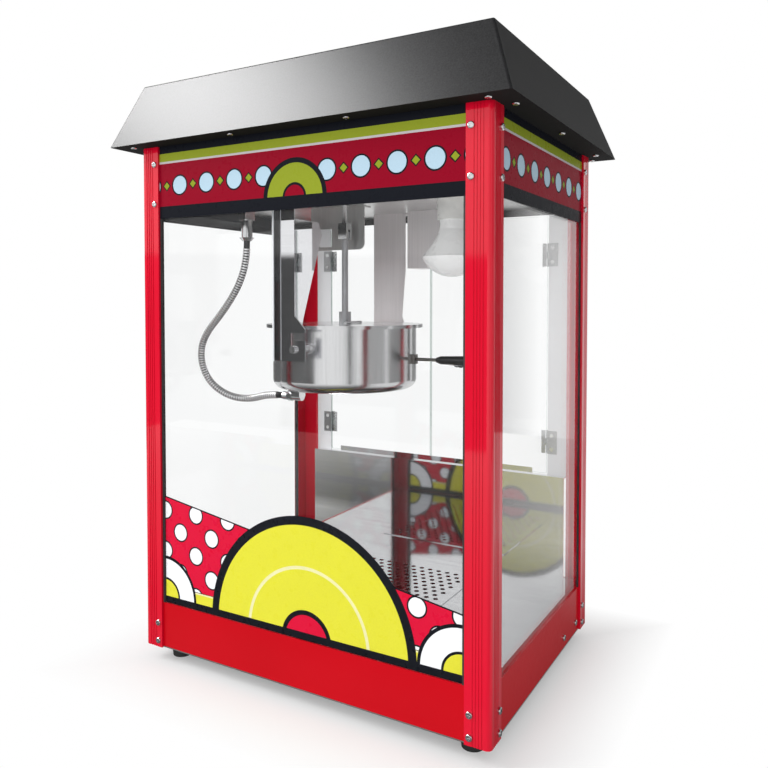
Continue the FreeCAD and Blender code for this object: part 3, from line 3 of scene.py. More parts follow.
import bmesh
import bpy
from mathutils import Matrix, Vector


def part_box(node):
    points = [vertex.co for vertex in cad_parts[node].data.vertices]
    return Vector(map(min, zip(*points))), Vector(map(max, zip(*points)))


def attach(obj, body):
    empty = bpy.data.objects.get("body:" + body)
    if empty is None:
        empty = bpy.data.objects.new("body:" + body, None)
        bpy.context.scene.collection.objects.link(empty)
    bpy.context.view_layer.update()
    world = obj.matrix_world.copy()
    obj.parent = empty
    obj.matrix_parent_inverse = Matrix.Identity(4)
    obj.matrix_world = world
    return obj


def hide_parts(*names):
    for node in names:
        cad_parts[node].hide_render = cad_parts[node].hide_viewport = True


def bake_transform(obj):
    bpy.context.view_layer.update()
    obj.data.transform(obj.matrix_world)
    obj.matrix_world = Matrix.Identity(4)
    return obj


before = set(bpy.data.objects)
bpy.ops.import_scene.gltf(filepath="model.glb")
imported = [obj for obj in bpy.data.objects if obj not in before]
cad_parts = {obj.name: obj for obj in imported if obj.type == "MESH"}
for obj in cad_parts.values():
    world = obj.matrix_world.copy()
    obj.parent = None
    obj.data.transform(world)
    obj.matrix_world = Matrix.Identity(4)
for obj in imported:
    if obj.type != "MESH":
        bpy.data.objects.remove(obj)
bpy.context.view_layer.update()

MM = 0.001

# Camera of the photograph, in the part's frame.
CAMERA_PLACE = (0.5351, -0.8957, 0.4852)
CAMERA_TURN = math.radians(30.01)
CAMERA_DIP = math.radians(1.717)
FOCAL_PIXELS = 752.06
IMAGE_PIXELS = 768
PRINCIPAL_RISE_PIXELS = 60.95
SENSOR_WIDTH = 36.0

# Colours, linear.
RED = (0.66, 0.002, 0.024)
DEEP_RED = (0.60, 0.0015, 0.019)
BASE_RED = (0.51, 0.0015, 0.008)
DEEP_BASE_RED = (0.46, 0.001, 0.006)
STEEL = (0.80, 0.80, 0.81)
# Painted highlight: pale edge of the front hanger's lip.
LIP_HIGHLIGHT_STEEL = (0.90, 0.92, 0.95)
RIVET_STEEL = (0.9, 0.9, 0.9)
BLACK = (0.016, 0.016, 0.017)
# Painted shade: colour of the roof's faces that look down.
SHADED_UNDERSIDE_BLACK = (0.004, 0.004, 0.004)
PRINT_RED = (0.62, 0.006, 0.040)
SIGN_RED = (0.25, 0.003, 0.016)
YELLOW = (0.66, 0.64, 0.045)
LIME = (0.25, 0.30, 0.024)
CREAM = (0.72, 0.70, 0.40)
WHITE_INK = (0.82, 0.84, 0.87)
GREY_INK = (0.50, 0.47, 0.48)
PALE_BLUE = (0.42, 0.57, 0.68)
INK = (0.009, 0.010, 0.014)
NO_INK = (0.0, 0.0, 0.0, 0.0)
CLEAR = (0.998, 1.0, 1.0)
GLASS_EDGE = (0.62, 0.68, 0.66)
WHITE = (1.0, 1.0, 1.0)

# The part of a noise's range that holds most of its values.
NOISE = (0.3, 0.7)
# Stretch that turns a noise into lines along one axis.
UP_LINES = (1.0, 1.0, 0.02)
SIDE_LINES = (0.02, 1.0, 1.0)


class Nodes:
    """Short calls to add, link and set the nodes of a tree."""

    def __init__(self, tree):
        self.tree = tree

    def link(self, start, end):
        self.tree.links.new(start, end)

    def feed(self, socket, value):
        """Link a socket to another one, or set it; a colour of three parts is opaque."""
        if isinstance(value, bpy.types.NodeSocket):
            self.link(value, socket)
        elif isinstance(value, tuple) and len(value) == 3 and socket.type == "RGBA":
            socket.default_value = (*value, 1.0)
        else:
            socket.default_value = value

    def node(self, kind, **values):
        """Add a node; values that name an input set or link it, others set a property."""
        node = self.tree.nodes.new(kind)
        for key, value in values.items():
            if key in node.inputs:
                self.feed(node.inputs[key], value)
            else:
                setattr(node, key, value)
        return node

    def gradient(self, factor, stops, interpolation="LINEAR"):
        """Colour and alpha that go through (factor, colour with alpha) stops."""
        node = self.node("ShaderNodeValToRGB", Fac=factor)
        ramp = node.color_ramp
        ramp.interpolation = interpolation
        ramp.elements.remove(ramp.elements[1])
        ramp.elements[0].position, ramp.elements[0].color = stops[0]
        for position, colour in stops[1:]:
            ramp.elements.new(position).color = colour
        return node.outputs

    def ramp(self, factor, low, high, start=0.0, end=1.0):
        """Blend from one colour to another while the factor goes from start to end."""
        return self.gradient(factor, [(start, (*low, 1.0)), (end, (*high, 1.0))])["Color"]

    def span(self, factor, low, high, start=0.0, end=1.0):
        """Number that goes from low to high while the factor goes from start to end."""
        node = self.node("ShaderNodeMapRange", Value=factor)
        sizes = {"From Min": start, "From Max": end, "To Min": low, "To Max": high}
        for name, value in sizes.items():
            node.inputs[name].default_value = value
        return node.outputs["Result"]

    def maths(self, operation, *values):
        node = self.node("ShaderNodeMath", operation=operation)
        for socket, value in zip(node.inputs, values):
            self.feed(socket, value)
        return node.outputs["Value"]

    def axes(self, vector):
        """The three parts of a vector."""
        return self.node("ShaderNodeSeparateXYZ", Vector=vector).outputs

    def length(self, across, up):
        """Distance from the origin in a plane."""
        flat = self.node("ShaderNodeCombineXYZ", X=across, Z=up)
        size = self.node("ShaderNodeVectorMath", operation="LENGTH")
        self.link(flat.outputs["Vector"], size.inputs[0])
        return size.outputs["Value"]

    def repeat(self, value, start, pitch):
        """Signed distance from the nearest of the places that follow each other at a pitch."""
        return self.maths("WRAP", self.maths("SUBTRACT", value, start), pitch / 2, -pitch / 2)

    def mix(self, factor, below, above, blend_type="MIX"):
        node = self.node("ShaderNodeMix", data_type="RGBA", blend_type=blend_type)
        for place, value in ((0, factor), (6, below), (7, above)):
            self.feed(node.inputs[place], value)
        return node.outputs[2]

    def layer(self, factor, below, above):
        """One shader over another."""
        node = self.node("ShaderNodeMixShader")
        for socket, value in zip(node.inputs, (factor, below, above)):
            self.feed(socket, value)
        return node.outputs["Shader"]


class Shader(Nodes):
    """A new material with its Principled shader."""

    def __init__(self, name):
        self.material = bpy.data.materials.new(name)
        self.material.use_nodes = True
        super().__init__(self.material.node_tree)
        self.surface = self.tree.nodes["Principled BSDF"]
        self.output = self.tree.nodes["Material Output"]

    def set(self, **values):
        """Set or link inputs of the Principled shader."""
        for key, value in values.items():
            self.feed(self.surface.inputs[key.replace("_", " ")], value)

    def place(self, stretch=(1.0, 1.0, 1.0)):
        """Position on the object in metres, stretched per axis."""
        position = self.node("ShaderNodeTexCoord").outputs["Object"]
        return self.node("ShaderNodeMapping", Vector=position, Scale=stretch).outputs["Vector"]

    def facing(self):
        """The three parts of the surface's direction, in the object's own axes."""
        return self.axes(self.node("ShaderNodeTexCoord").outputs["Normal"])

    def noise(self, scale, detail=3.0, stretch=(1.0, 1.0, 1.0)):
        node = self.node("ShaderNodeTexNoise", Vector=self.place(stretch), Scale=scale, Detail=detail)
        return node.outputs["Fac"]

    def bump(self, height, strength, distance):
        node = self.node("ShaderNodeBump", Height=height, Strength=strength, Distance=distance)
        self.set(Normal=node.outputs["Normal"])

    def bands(self, below, value, stops):
        """Paint flat bands over a colour; each stop starts a band at a value, None leaves what is below."""
        low = min(stops[0][0], 0.0) - 0.01 * MM
        high = stops[-1][0] + 1.0 * MM
        paint = [(0.0, NO_INK)]
        for start, colour in stops:
            paint.append(((start - low) / (high - low), NO_INK if colour is None else (*colour, 1.0)))
        print_layer = self.gradient(self.span(value, 0.0, 1.0, low, high), paint, "CONSTANT")
        return self.mix(print_layer["Alpha"], below, print_layer["Color"])

    def fan(self, below, across, up, centre, stops):
        """Paint rings round a centre."""
        side = self.maths("SUBTRACT", across, centre[0])
        rise = self.maths("SUBTRACT", up, centre[1])
        return self.bands(below, self.length(side, rise), stops)


def painted(name, colour, deep, roughness, coat=0.0, level=0.5):
    """Sprayed metal: slight colour drift, uneven gloss and a fine orange peel under a clear coat."""
    shader = Shader(name)
    shader.set(
        Base_Color=shader.ramp(shader.noise(5.0), deep, colour, 0.25, 0.7),
        Roughness=shader.span(shader.noise(160.0, 4.0), roughness * 0.92, roughness * 1.1, *NOISE),
        Specular_IOR_Level=level,
        Coat_Weight=coat,
        Coat_Roughness=0.05,
    )
    shader.bump(shader.noise(900.0, 2.0), 0.25, 0.04 * MM)
    return shader.material


def powder_coated(name, colour):
    """Black powder coat: fine even speckle, duller on the faces that look down, where painted shade also
    darkens the colour.
    """
    shader = Shader(name)
    speckle = shader.noise(650.0, 2.0)
    # Faces that look down: painted shade in the colour, and a rougher gloss.
    below = shader.span(shader.facing()["Z"], 1.0, 0.0, -0.7, -0.4)
    dark, light = (tuple(share * part for part in colour) for share in (0.7, 1.3))
    coat = shader.ramp(speckle, dark, light, *NOISE)
    satin = shader.span(speckle, 0.28, 0.32, *NOISE)
    shader.set(
        Base_Color=shader.mix(below, coat, SHADED_UNDERSIDE_BLACK),
        Roughness=shader.maths("ADD", satin, shader.span(below, 0.0, 0.6)),
        Specular_IOR_Level=0.25,
    )
    shader.bump(speckle, 0.12, 0.03 * MM)
    return shader.material


def steel(name, roughness, stretch=(1.0, 1.0, 1.0), colour=STEEL, brushing=0.06, metallic=1.0):
    """Bright sheet: fine polishing lines along one axis, faint smears in the gloss."""
    shader = Shader(name)
    lines = shader.noise(420.0, 2.0, stretch)
    smears = shader.noise(14.0, 5.0)
    dark = tuple(0.93 * part for part in colour)
    shader.set(
        Base_Color=shader.ramp(lines, dark, colour, *NOISE),
        Metallic=metallic,
        Roughness=shader.span(smears, roughness * 0.85, roughness * 1.2, *NOISE),
    )
    shader.bump(lines, brushing, 0.02 * MM)
    return shader.material


def lipped(name, level):
    """Mirror-bright hanger sheet whose folded lip, in front of a level, has a pale satin edge, a painted
    highlight along its bend.
    """
    shader = Shader(name)
    lines = shader.noise(420.0, 2.0, SIDE_LINES)
    # The lip's edge, in front of the level, gets a painted highlight.
    edge = shader.maths("LESS_THAN", shader.axes(shader.place())["Y"], level)
    sheet = shader.ramp(lines, (0.80, 0.80, 0.82), (0.86, 0.86, 0.88), *NOISE)
    shader.set(
        Base_Color=shader.mix(edge, sheet, LIP_HIGHLIGHT_STEEL),
        Metallic=shader.span(edge, 1.0, 0.3),
        Roughness=shader.span(edge, 0.03, 0.4),
    )
    shader.bump(lines, 0.02, 0.02 * MM)
    return shader.material


def riveted(name, level):
    """Dull hinge steel whose rivet heads, in front of a level, are polished."""
    shader = Shader(name)
    lines = shader.noise(420.0, 2.0)
    head = shader.maths("LESS_THAN", shader.axes(shader.place())["Y"], level)
    dull = shader.ramp(lines, (0.36, 0.36, 0.37), (0.42, 0.42, 0.43), *NOISE)
    shader.set(
        Base_Color=shader.mix(head, dull, RIVET_STEEL),
        Metallic=1.0,
        Roughness=shader.span(head, 0.34, 0.16),
    )
    shader.bump(lines, 0.06, 0.02 * MM)
    return shader.material


def plastic(name, colour, roughness):
    """Moulded plastic, rubber or ceramic with a fine grain."""
    shader = Shader(name)
    lighter = tuple(min(1.0, 1.35 * part + 0.004) for part in colour)
    shader.set(
        Base_Color=shader.ramp(shader.noise(30.0), colour, lighter, 0.35, 0.75),
        Roughness=shader.span(shader.noise(70.0, 4.0), roughness * 0.85, roughness * 1.2, *NOISE),
    )
    shader.bump(shader.noise(1500.0, 2.0), 0.2, 0.05 * MM)
    return shader.material


def frosted_glass(name):
    """White frosted lamp glass."""
    shader = Shader(name)
    shader.set(
        Base_Color=shader.ramp(shader.noise(20.0), (0.92, 0.93, 0.93), (0.96, 0.97, 0.97), *NOISE),
        Roughness=shader.span(shader.noise(50.0), 0.22, 0.34, *NOISE),
        Subsurface_Weight=0.4,
        Subsurface_Radius=(0.006, 0.006, 0.006),
        Coat_Weight=0.3,
    )
    shader.bump(shader.noise(700.0), 0.05, 0.03 * MM)
    return shader.material


def clear_glass(name, edges=False):
    """Clear pane: what is behind shows through, with a faint smudged reflection; edges tints its sides."""
    shader = Shader(name)
    shader.tree.nodes.remove(shader.surface)
    tint = CLEAR
    if edges:
        face = shader.span(shader.maths("ABSOLUTE", shader.facing()["Y"]), 0.0, 1.0, 0.3, 0.6)
        tint = shader.ramp(face, GLASS_EDGE, CLEAR)
    through = shader.node("ShaderNodeBsdfTransparent", Color=tint)
    smudge = shader.span(shader.noise(11.0, 6.0), 0.01, 0.03, 0.35, 0.75)
    gloss = shader.node("ShaderNodeBsdfAnisotropic", Color=WHITE, Roughness=smudge)
    slant = shader.node("ShaderNodeLayerWeight", Blend=0.5).outputs["Facing"]
    mirrored = shader.span(shader.maths("POWER", slant, 4.0), 0.02, 0.9)
    pane = shader.layer(mirrored, through.outputs["BSDF"], gloss.outputs["BSDF"])
    shader.link(pane, shader.output.inputs["Surface"])
    return shader.material


def ring(*bands):
    """Stops of rings round a centre, from (outer radius in mm, colour) pairs."""
    stops, start = [], 0.0
    for outer, colour in bands:
        stops.append((start * MM, colour))
        start = outer
    return stops + [(start * MM, None)]


# Print on the front pane: half its width, its lower edge and its sloping top edge, in metres.
PRINT_HALF = 0.2162
PRINT_LOW = 0.0812
PRINT_MIDDLE = 0.190
PRINT_SLOPE = 0.160
PRINT_RIM = [(PRINT_MIDDLE - 2.0 * MM, INK), (PRINT_MIDDLE + 9.0 * MM, None)]
# Its stripes, as (level where the band starts, colour), and its dots, which stand in two crossed grids.
PRINT_STRIPES = [(0.060, YELLOW), (0.102, CREAM), (0.104, INK), (0.1048, None)]
PRINT_FOOT = [(0.060, INK), (0.090, None)]
DOT_PITCH = 0.054
DOT_LEVEL = 0.152
DOT = ring((10.5, WHITE_INK), (12.5, INK))
# Its large fan, of which the top stands above the field, and the small fans in its lower corners.
FAN_SIDE = 0.014
FAN_RADIUS_MM = 148.0
FAN = ring(
    (30.0, PRINT_RED), (36.0, INK), (84.0, YELLOW), (88.0, CREAM), (137.0, YELLOW), (FAN_RADIUS_MM, INK),
)
CORNER_FAN_LEVEL = 0.090
CORNER_FAN = ring((22.0, YELLOW), (25.0, INK), (50.0, WHITE_INK), (54.0, INK))

# Header print: its red band with a row of discs and diamonds, the stripes, and the fan at the front.
SIGN_LOW = 0.607
SIGN_MIDDLE = 0.635
SIGN_STRIPES = [(0.560, INK), (SIGN_LOW, None), (0.663, GREY_INK), (0.6665, LIME), (0.6765, INK)]
SIGN_PITCH = 0.046
DISC = ring((11.5, PALE_BLUE), (13.5, INK))
DIAMOND = ring((5.0, LIME), (7.0, INK))
SIGN_FAN = ring((14.0, SIGN_RED), (17.0, INK), (40.0, LIME), (46.0, INK))


def finish_print(shader, colour, gloss, through=0.0):
    """Gloss and slight unevenness of screen-printed ink, which lets some light through a film."""
    worn = shader.ramp(shader.noise(500.0, 2.0), (0.96, 0.96, 0.96), WHITE, 0.35, 0.65)
    shader.set(
        Base_Color=shader.mix(1.0, colour, worn, "MULTIPLY"),
        Roughness=shader.span(shader.noise(120.0), 0.26, 0.32, *NOISE),
        Specular_IOR_Level=gloss,
        Subsurface_Weight=through,
        Subsurface_Radius=(1.0, 1.0, 1.0),
        Subsurface_Scale=0.4 * MM,
    )
    return shader.material


def glass_print(name):
    """Print on the front pane: dotted red field, stripes along the base and banded fans."""
    shader = Shader(name)
    across, _, up = shader.axes(shader.place())
    colour = PRINT_RED
    for shift in (0.0, DOT_PITCH / 2):
        side = shader.repeat(across, shift, DOT_PITCH)
        rise = shader.repeat(up, DOT_LEVEL + shift, DOT_PITCH)
        colour = shader.bands(colour, shader.length(side, rise), DOT)
    edge = shader.maths("ADD", up, shader.maths("MULTIPLY", across, PRINT_SLOPE))
    colour = shader.bands(colour, edge, PRINT_RIM)
    colour = shader.bands(colour, up, PRINT_STRIPES)
    for side in (-PRINT_HALF, PRINT_HALF):
        colour = shader.fan(colour, across, up, (side, CORNER_FAN_LEVEL), CORNER_FAN)
    colour = shader.fan(colour, across, up, (FAN_SIDE, PRINT_LOW), FAN)
    colour = shader.bands(colour, up, PRINT_FOOT)
    return finish_print(shader, colour, 0.12, through=0.7)


def sign_print(name, axis, sign):
    """Header print on the face that looks along an axis, with a sign; the panel's other faces are black."""
    shader = Shader(name)
    place = shader.axes(shader.place())
    across, up = place["X" if axis == "Y" else "Y"], place["Z"]
    rise = shader.maths("SUBTRACT", up, SIGN_MIDDLE)
    colour = shader.bands(SIGN_RED, shader.length(shader.repeat(across, 0.0, SIGN_PITCH), rise), DISC)
    sides = (shader.repeat(across, SIGN_PITCH / 2, SIGN_PITCH), rise)
    reach = shader.maths("ADD", *(shader.maths("ABSOLUTE", side) for side in sides))
    colour = shader.bands(colour, reach, DIAMOND)
    if axis == "Y":
        colour = shader.fan(colour, across, up, (0.0, SIGN_LOW), SIGN_FAN)
    colour = shader.bands(colour, up, SIGN_STRIPES)
    outer = shader.maths("GREATER_THAN", shader.maths("MULTIPLY", shader.facing()[axis], sign), 0.5)
    return finish_print(shader, shader.mix(outer, INK, colour), 0.04)


# Depth of the front hanger's lip, and the level in front of which the hinges' rivet heads stand.
HANGER_LIP = 11.5 * MM
RIVET_LEVEL = 0.1797


def make_materials():
    return {
        "red": painted("red_gloss_enamel", RED, DEEP_RED, 0.3, coat=1.0, level=0.1),
        "base_red": painted("red_base_enamel", BASE_RED, DEEP_BASE_RED, 0.3, coat=0.4, level=0.05),
        "roof": powder_coated("black_powder_coat", (0.021, 0.021, 0.022)),
        "panel": painted("dark_panel_enamel", (0.020, 0.020, 0.022), (0.015, 0.015, 0.016), 0.3),
        "front_sign": sign_print("front_sign_print", "Y", -1.0),
        "left_sign": sign_print("left_sign_print", "X", -1.0),
        "right_sign": sign_print("right_sign_print", "X", 1.0),
        "glass_print": glass_print("front_pane_print"),
        "sheet": steel("satin_sheet", 0.32, SIDE_LINES, (0.74, 0.74, 0.73)),
        "guard": steel("guard_sheet", 0.36, UP_LINES, (0.62, 0.62, 0.61)),
        "pale_sheet": painted("pale_grey_sheet", (0.84, 0.85, 0.87), (0.78, 0.79, 0.81), 0.3),
        "mirror": steel("mirror_sheet", 0.05, SIDE_LINES),
        "hanger": lipped("polished_hanger_sheet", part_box("front_kettle_hanger")[0][1] + HANGER_LIP),
        "kettle": steel("polished_kettle_steel", 0.18, UP_LINES, brushing=0.16),
        "bright": steel("bright_plating", 0.12),
        "dull": steel("dull_plating", 0.36, colour=(0.58, 0.59, 0.61)),
        "dark_rod": steel("dark_rod_steel", 0.3, colour=(0.24, 0.23, 0.22)),
        "hinge": riveted("hinge_steel", RIVET_LEVEL),
        # Brushed sheet; its slight pink tint is a painted reflection of the red paint nearby.
        "brushed": steel("brushed_hanger_sheet", 0.36, UP_LINES, (0.84, 0.80, 0.81), metallic=0.55),
        "conduit": steel("conduit_steel", 0.18, colour=(0.96, 0.96, 0.97), metallic=0.6),
        # Painted shade for the gaps between the conduit's ribs.
        "conduit_gap_shade": plastic("conduit_shadow", (0.012, 0.012, 0.013), 0.6),
        "motor": painted("motor_grey", (0.10, 0.10, 0.11), (0.07, 0.07, 0.08), 0.45),
        "element": plastic("element_sheath", (0.06, 0.055, 0.05), 0.6),
        "glass": clear_glass("clear_pane"),
        "door_glass": clear_glass("door_pane", edges=True),
        "bulb": frosted_glass("frosted_bulb_glass"),
        "ceramic": plastic("white_ceramic", (0.72, 0.72, 0.70), 0.3),
        "rubber": plastic("black_rubber", (0.02, 0.02, 0.02), 0.7),
        "black": plastic("black_moulding", BLACK, 0.35),
        "rocker": plastic("red_rocker_plastic", (0.5, 0.01, 0.012), 0.25),
    }


NODE_FINISH = {
    "red": [
        "corner_post_front_left", "corner_post_front_right",
        "corner_post_rear_left", "corner_post_rear_right",
    ],
    "base_red": ["base_front_rail", "base_left_rail", "base_right_rail", "base_rear_rail", "crumb_drawer"],
    "roof": ["roof_shell"],
    "panel": ["rear_control_panel"],
    "front_sign": ["front_sign_panel"],
    "left_sign": ["left_sign_panel"],
    "right_sign": ["right_sign_panel"],
    "sheet": ["base_bottom_plate", "ceiling_plate"],
    "pale_sheet": ["door_jambs"],
    "mirror": ["floor_deck", "sieve_plate", "rear_sill"],
    "hanger": ["front_kettle_hanger"],
    "guard": ["drive_guard"],
    "kettle": [
        "kettle_bowl", "kettle_floor_pan", "kettle_trunnions", "kettle_lid", "lid_flap", "lid_hinge_pin",
    ],
    "bright": [
        "pan_head_screws", "left_door_leaves", "right_door_leaves", "drive_fork",
        "conduit_ceiling_connector", "conduit_kettle_gland",
    ],
    "dull": ["lid_bush", "stirrer"],
    "hinge": ["jamb_hinges"],
    "dark_rod": ["handle_rod"],
    "brushed": ["rear_kettle_hanger", "control_box"],
    "conduit": ["flex_conduit"],
    "motor": ["gear_motor"],
    "element": ["heating_element"],
    "glass": ["front_glass", "left_glass", "right_glass"],
    "door_glass": ["left_door", "right_door"],
    "bulb": ["lamp_bulb"],
    "ceramic": ["lamp_holder"],
    "rubber": ["rubber_feet", "glazing_seals"],
    "black": ["handle_grip", "left_door_knob", "right_door_knob", "power_inlet", "switch_frames"],
    "rocker": ["motor_switch", "heat_switch", "lamp_switch"],
}


def dress_nodes(materials):
    """Give every carried-over node its own finish."""
    for finish, names in NODE_FINISH.items():
        for name in names:
            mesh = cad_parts[name].data
            mesh.materials.clear()
            mesh.materials.append(materials[finish])


def new_object(name, data):
    piece = bpy.data.objects.new(name, data)
    bpy.context.scene.collection.objects.link(piece)
    return piece


def loft(name, loops, slots, materials):
    """Closed piece skinned over loops of points, creased at each, with a material slot for each band."""
    mesh = bmesh.new()
    rows = [[mesh.verts.new(point) for point in loop] for loop in loops]
    for before, after, slot in zip(rows, rows[1:], slots):
        for side in range(len(before)):
            near = (side + 1) % len(before)
            face = mesh.faces.new((before[side], before[near], after[near], after[side]))
            face.material_index = slot
            mesh.edges.get((before[side], before[near])).smooth = False
    mesh.faces.new(list(reversed(rows[0])))
    mesh.faces.new(rows[-1])
    bmesh.ops.recalc_face_normals(mesh, faces=mesh.faces)
    data = bpy.data.meshes.new(name)
    mesh.to_mesh(data)
    mesh.free()
    for material in materials:
        data.materials.append(material)
    return new_object(name, data)


# Route of the conduit, from the ceiling connector round to the kettle gland.
CONDUIT_ROUTE = [
    (-0.140, -0.100, 0.566),
    (-0.140, -0.100, 0.545),
    (-0.152, -0.100, 0.509),
    (-0.181, -0.100, 0.472),
    (-0.221, -0.100, 0.434),
    (-0.227, -0.100, 0.400),
    (-0.213, -0.097, 0.369),
    (-0.184, -0.089, 0.350),
    (-0.152, -0.080, 0.347),
    (-0.121, -0.078, 0.356),
    (-0.095, -0.078, 0.356),
]
CONDUIT_DIAMETER = 10.0 * MM
# One rib, as (share of the pitch, share of the radius), from one valley to the next.
CONDUIT_VALLEY = 0.84
RIB = (
    (0.08, 0.93), (0.15, 1.0), (0.65, 1.0), (0.73, 0.93), (0.8, CONDUIT_VALLEY), (1.0, CONDUIT_VALLEY),
)
RIB_PITCH = 3.6 * MM
# Bands that stay below this share of the radius are the gaps between the ribs, which get painted shade.
GAP_BELOW = 0.95
TUBE_SIDES = 20


def smooth_line(name, route):
    """Points along the smooth spline that has the route as its control points."""
    curve = bpy.data.curves.new(name, "CURVE")
    curve.dimensions = "3D"
    curve.resolution_u = 40
    spline = curve.splines.new("NURBS")
    spline.points.add(len(route) - 1)
    for point, place in zip(spline.points, route):
        point.co = (*place, 1.0)
    spline.order_u = 3
    spline.use_endpoint_u = True
    carrier = new_object(name, curve)
    bpy.context.view_layer.update()
    evaluated = carrier.evaluated_get(bpy.context.evaluated_depsgraph_get())
    mesh = bpy.data.meshes.new_from_object(evaluated)
    points = [vertex.co.copy() for vertex in mesh.vertices]
    bpy.data.objects.remove(carrier)
    bpy.data.meshes.remove(mesh)
    bpy.data.curves.remove(curve)
    return points


def walk(points):
    """Function that gives the point and direction at a distance along a line of points, and its length."""
    lengths = [0.0]
    for a, b in zip(points, points[1:]):
        lengths.append(lengths[-1] + (b - a).length)

    def at(distance):
        i = 1
        while i < len(points) - 1 and lengths[i] < distance:
            i += 1
        a, b = points[i - 1], points[i]
        share = (distance - lengths[i - 1]) / max(lengths[i] - lengths[i - 1], 1e-9)
        return a.lerp(b, min(max(share, 0.0), 1.0)), (b - a).normalized()

    return at, lengths[-1]


def make_conduit(materials):
    """Ribbed metal conduit along its route, which ends at the kettle gland."""
    points = smooth_line("conduit_line", CONDUIT_ROUTE)
    at, total = walk(points)
    plain = CONDUIT_DIAMETER
    ribs = round((total - 2 * plain) / RIB_PITCH)
    pitch = (total - 2 * plain) / ribs
    rings = [(0.0, CONDUIT_VALLEY), (plain, CONDUIT_VALLEY)]
    for rib in range(ribs):
        rings += [(plain + (rib + share) * pitch, size) for share, size in RIB]
    rings.append((total, CONDUIT_VALLEY))
    depth = Vector((0.0, 1.0, 0.0))
    loops = []
    for distance, size in rings:
        centre, along = at(distance)
        first = (depth - along * depth.dot(along)).normalized()
        second = along.cross(first)
        loop = []
        for side in range(TUBE_SIDES):
            angle = 2 * math.pi * side / TUBE_SIDES
            spoke = first * math.cos(angle) + second * math.sin(angle)
            loop.append(centre + spoke * (CONDUIT_DIAMETER / 2) * size)
        loops.append(loop)
    # Gap bands take the painted shade material, the others the steel.
    slots = [int(max(start[1], end[1]) < GAP_BELOW) for start, end in zip(rings, rings[1:])]
    piece = loft("ribbed_conduit", loops, slots, [materials["conduit"], materials["conduit_gap_shade"]])
    for face in piece.data.polygons:
        face.use_smooth = True
    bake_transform(piece)
    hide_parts("flex_conduit")


FILM_THICKNESS = 0.2 * MM
FILM_COLUMNS = 144


def make_glass_print(materials):
    """Thin printed film on the outside of the front pane, with a sloping top edge and a round fan."""
    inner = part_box("front_glass")[0][1]
    outer = inner - FILM_THICKNESS
    loops = []
    for i in range(FILM_COLUMNS + 1):
        x = PRINT_HALF * (2.0 * i / FILM_COLUMNS - 1.0)
        inside = (FAN_RADIUS_MM * MM) ** 2 - (x - FAN_SIDE) ** 2
        dome = PRINT_LOW + math.sqrt(inside) if inside > 0.0 else PRINT_LOW
        top = max(dome, PRINT_MIDDLE - PRINT_SLOPE * x)
        loops.append([(x, inner, PRINT_LOW), (x, outer, PRINT_LOW), (x, outer, top), (x, inner, top)])
    piece = loft("front_pane_film", loops, [0] * FILM_COLUMNS, [materials["glass_print"]])
    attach(piece, "cabinet")


# Floor, in metres: half its side, and the distances from the part over which it turns to plain white.
FLOOR_HALF = 1.7
FLOOR_FADE = (-0.03, 0.11)
# Brightness that reflections see on it, as (nearest, furthest, start, end of the distance between them),
# before the part and beside it, and the places along Y between which one gives way to the other.
FLOOR_BEFORE = (0.10, 0.85, 0.15, 1.3)
FLOOR_BESIDE = (0.10, 0.80, 0.0, 0.40)
FLOOR_TURN = (-0.30, -0.21)


def make_floor():
    """Pale floor that takes the shadow near the part and turns to plain white further out."""
    corners = [(x * FLOOR_HALF, y * FLOOR_HALF, 0.0) for x, y in ((-1, -1), (1, -1), (1, 1), (-1, 1))]
    mesh = bpy.data.meshes.new("studio_floor")
    mesh.from_pydata(corners, [], [(0, 1, 2, 3)])
    floor = new_object("studio_floor", mesh)
    shader = Shader("studio_floor_white")
    shader.set(Base_Color=(0.93, 0.93, 0.93), Roughness=0.8)
    place = shader.axes(shader.place())
    sides = []
    for axis, reach in zip("XY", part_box("base_bottom_plate")[1]):
        sides.append(shader.maths("SUBTRACT", shader.maths("ABSOLUTE", place[axis]), reach))
    distance = shader.maths("MAXIMUM", *sides)
    white = shader.node("ShaderNodeEmission", Color=WHITE, Strength=1.0)
    before = shader.span(distance, *FLOOR_BEFORE)
    beside = shader.span(distance, *FLOOR_BESIDE)
    mirrored = shader.mix(shader.span(place["Y"], 0.0, 1.0, *FLOOR_TURN), before, beside)
    dim = shader.node("ShaderNodeEmission", Color=mirrored, Strength=1.0)
    faded = shader.span(distance, 0.2, 1.0, *FLOOR_FADE)
    seen = shader.layer(faded, shader.surface.outputs["BSDF"], white.outputs["Emission"])
    glossy = shader.node("ShaderNodeLightPath").outputs["Is Glossy Ray"]
    lit = shader.layer(glossy, seen, dim.outputs["Emission"])
    shader.link(lit, shader.output.inputs["Surface"])
    mesh.materials.append(shader.material)


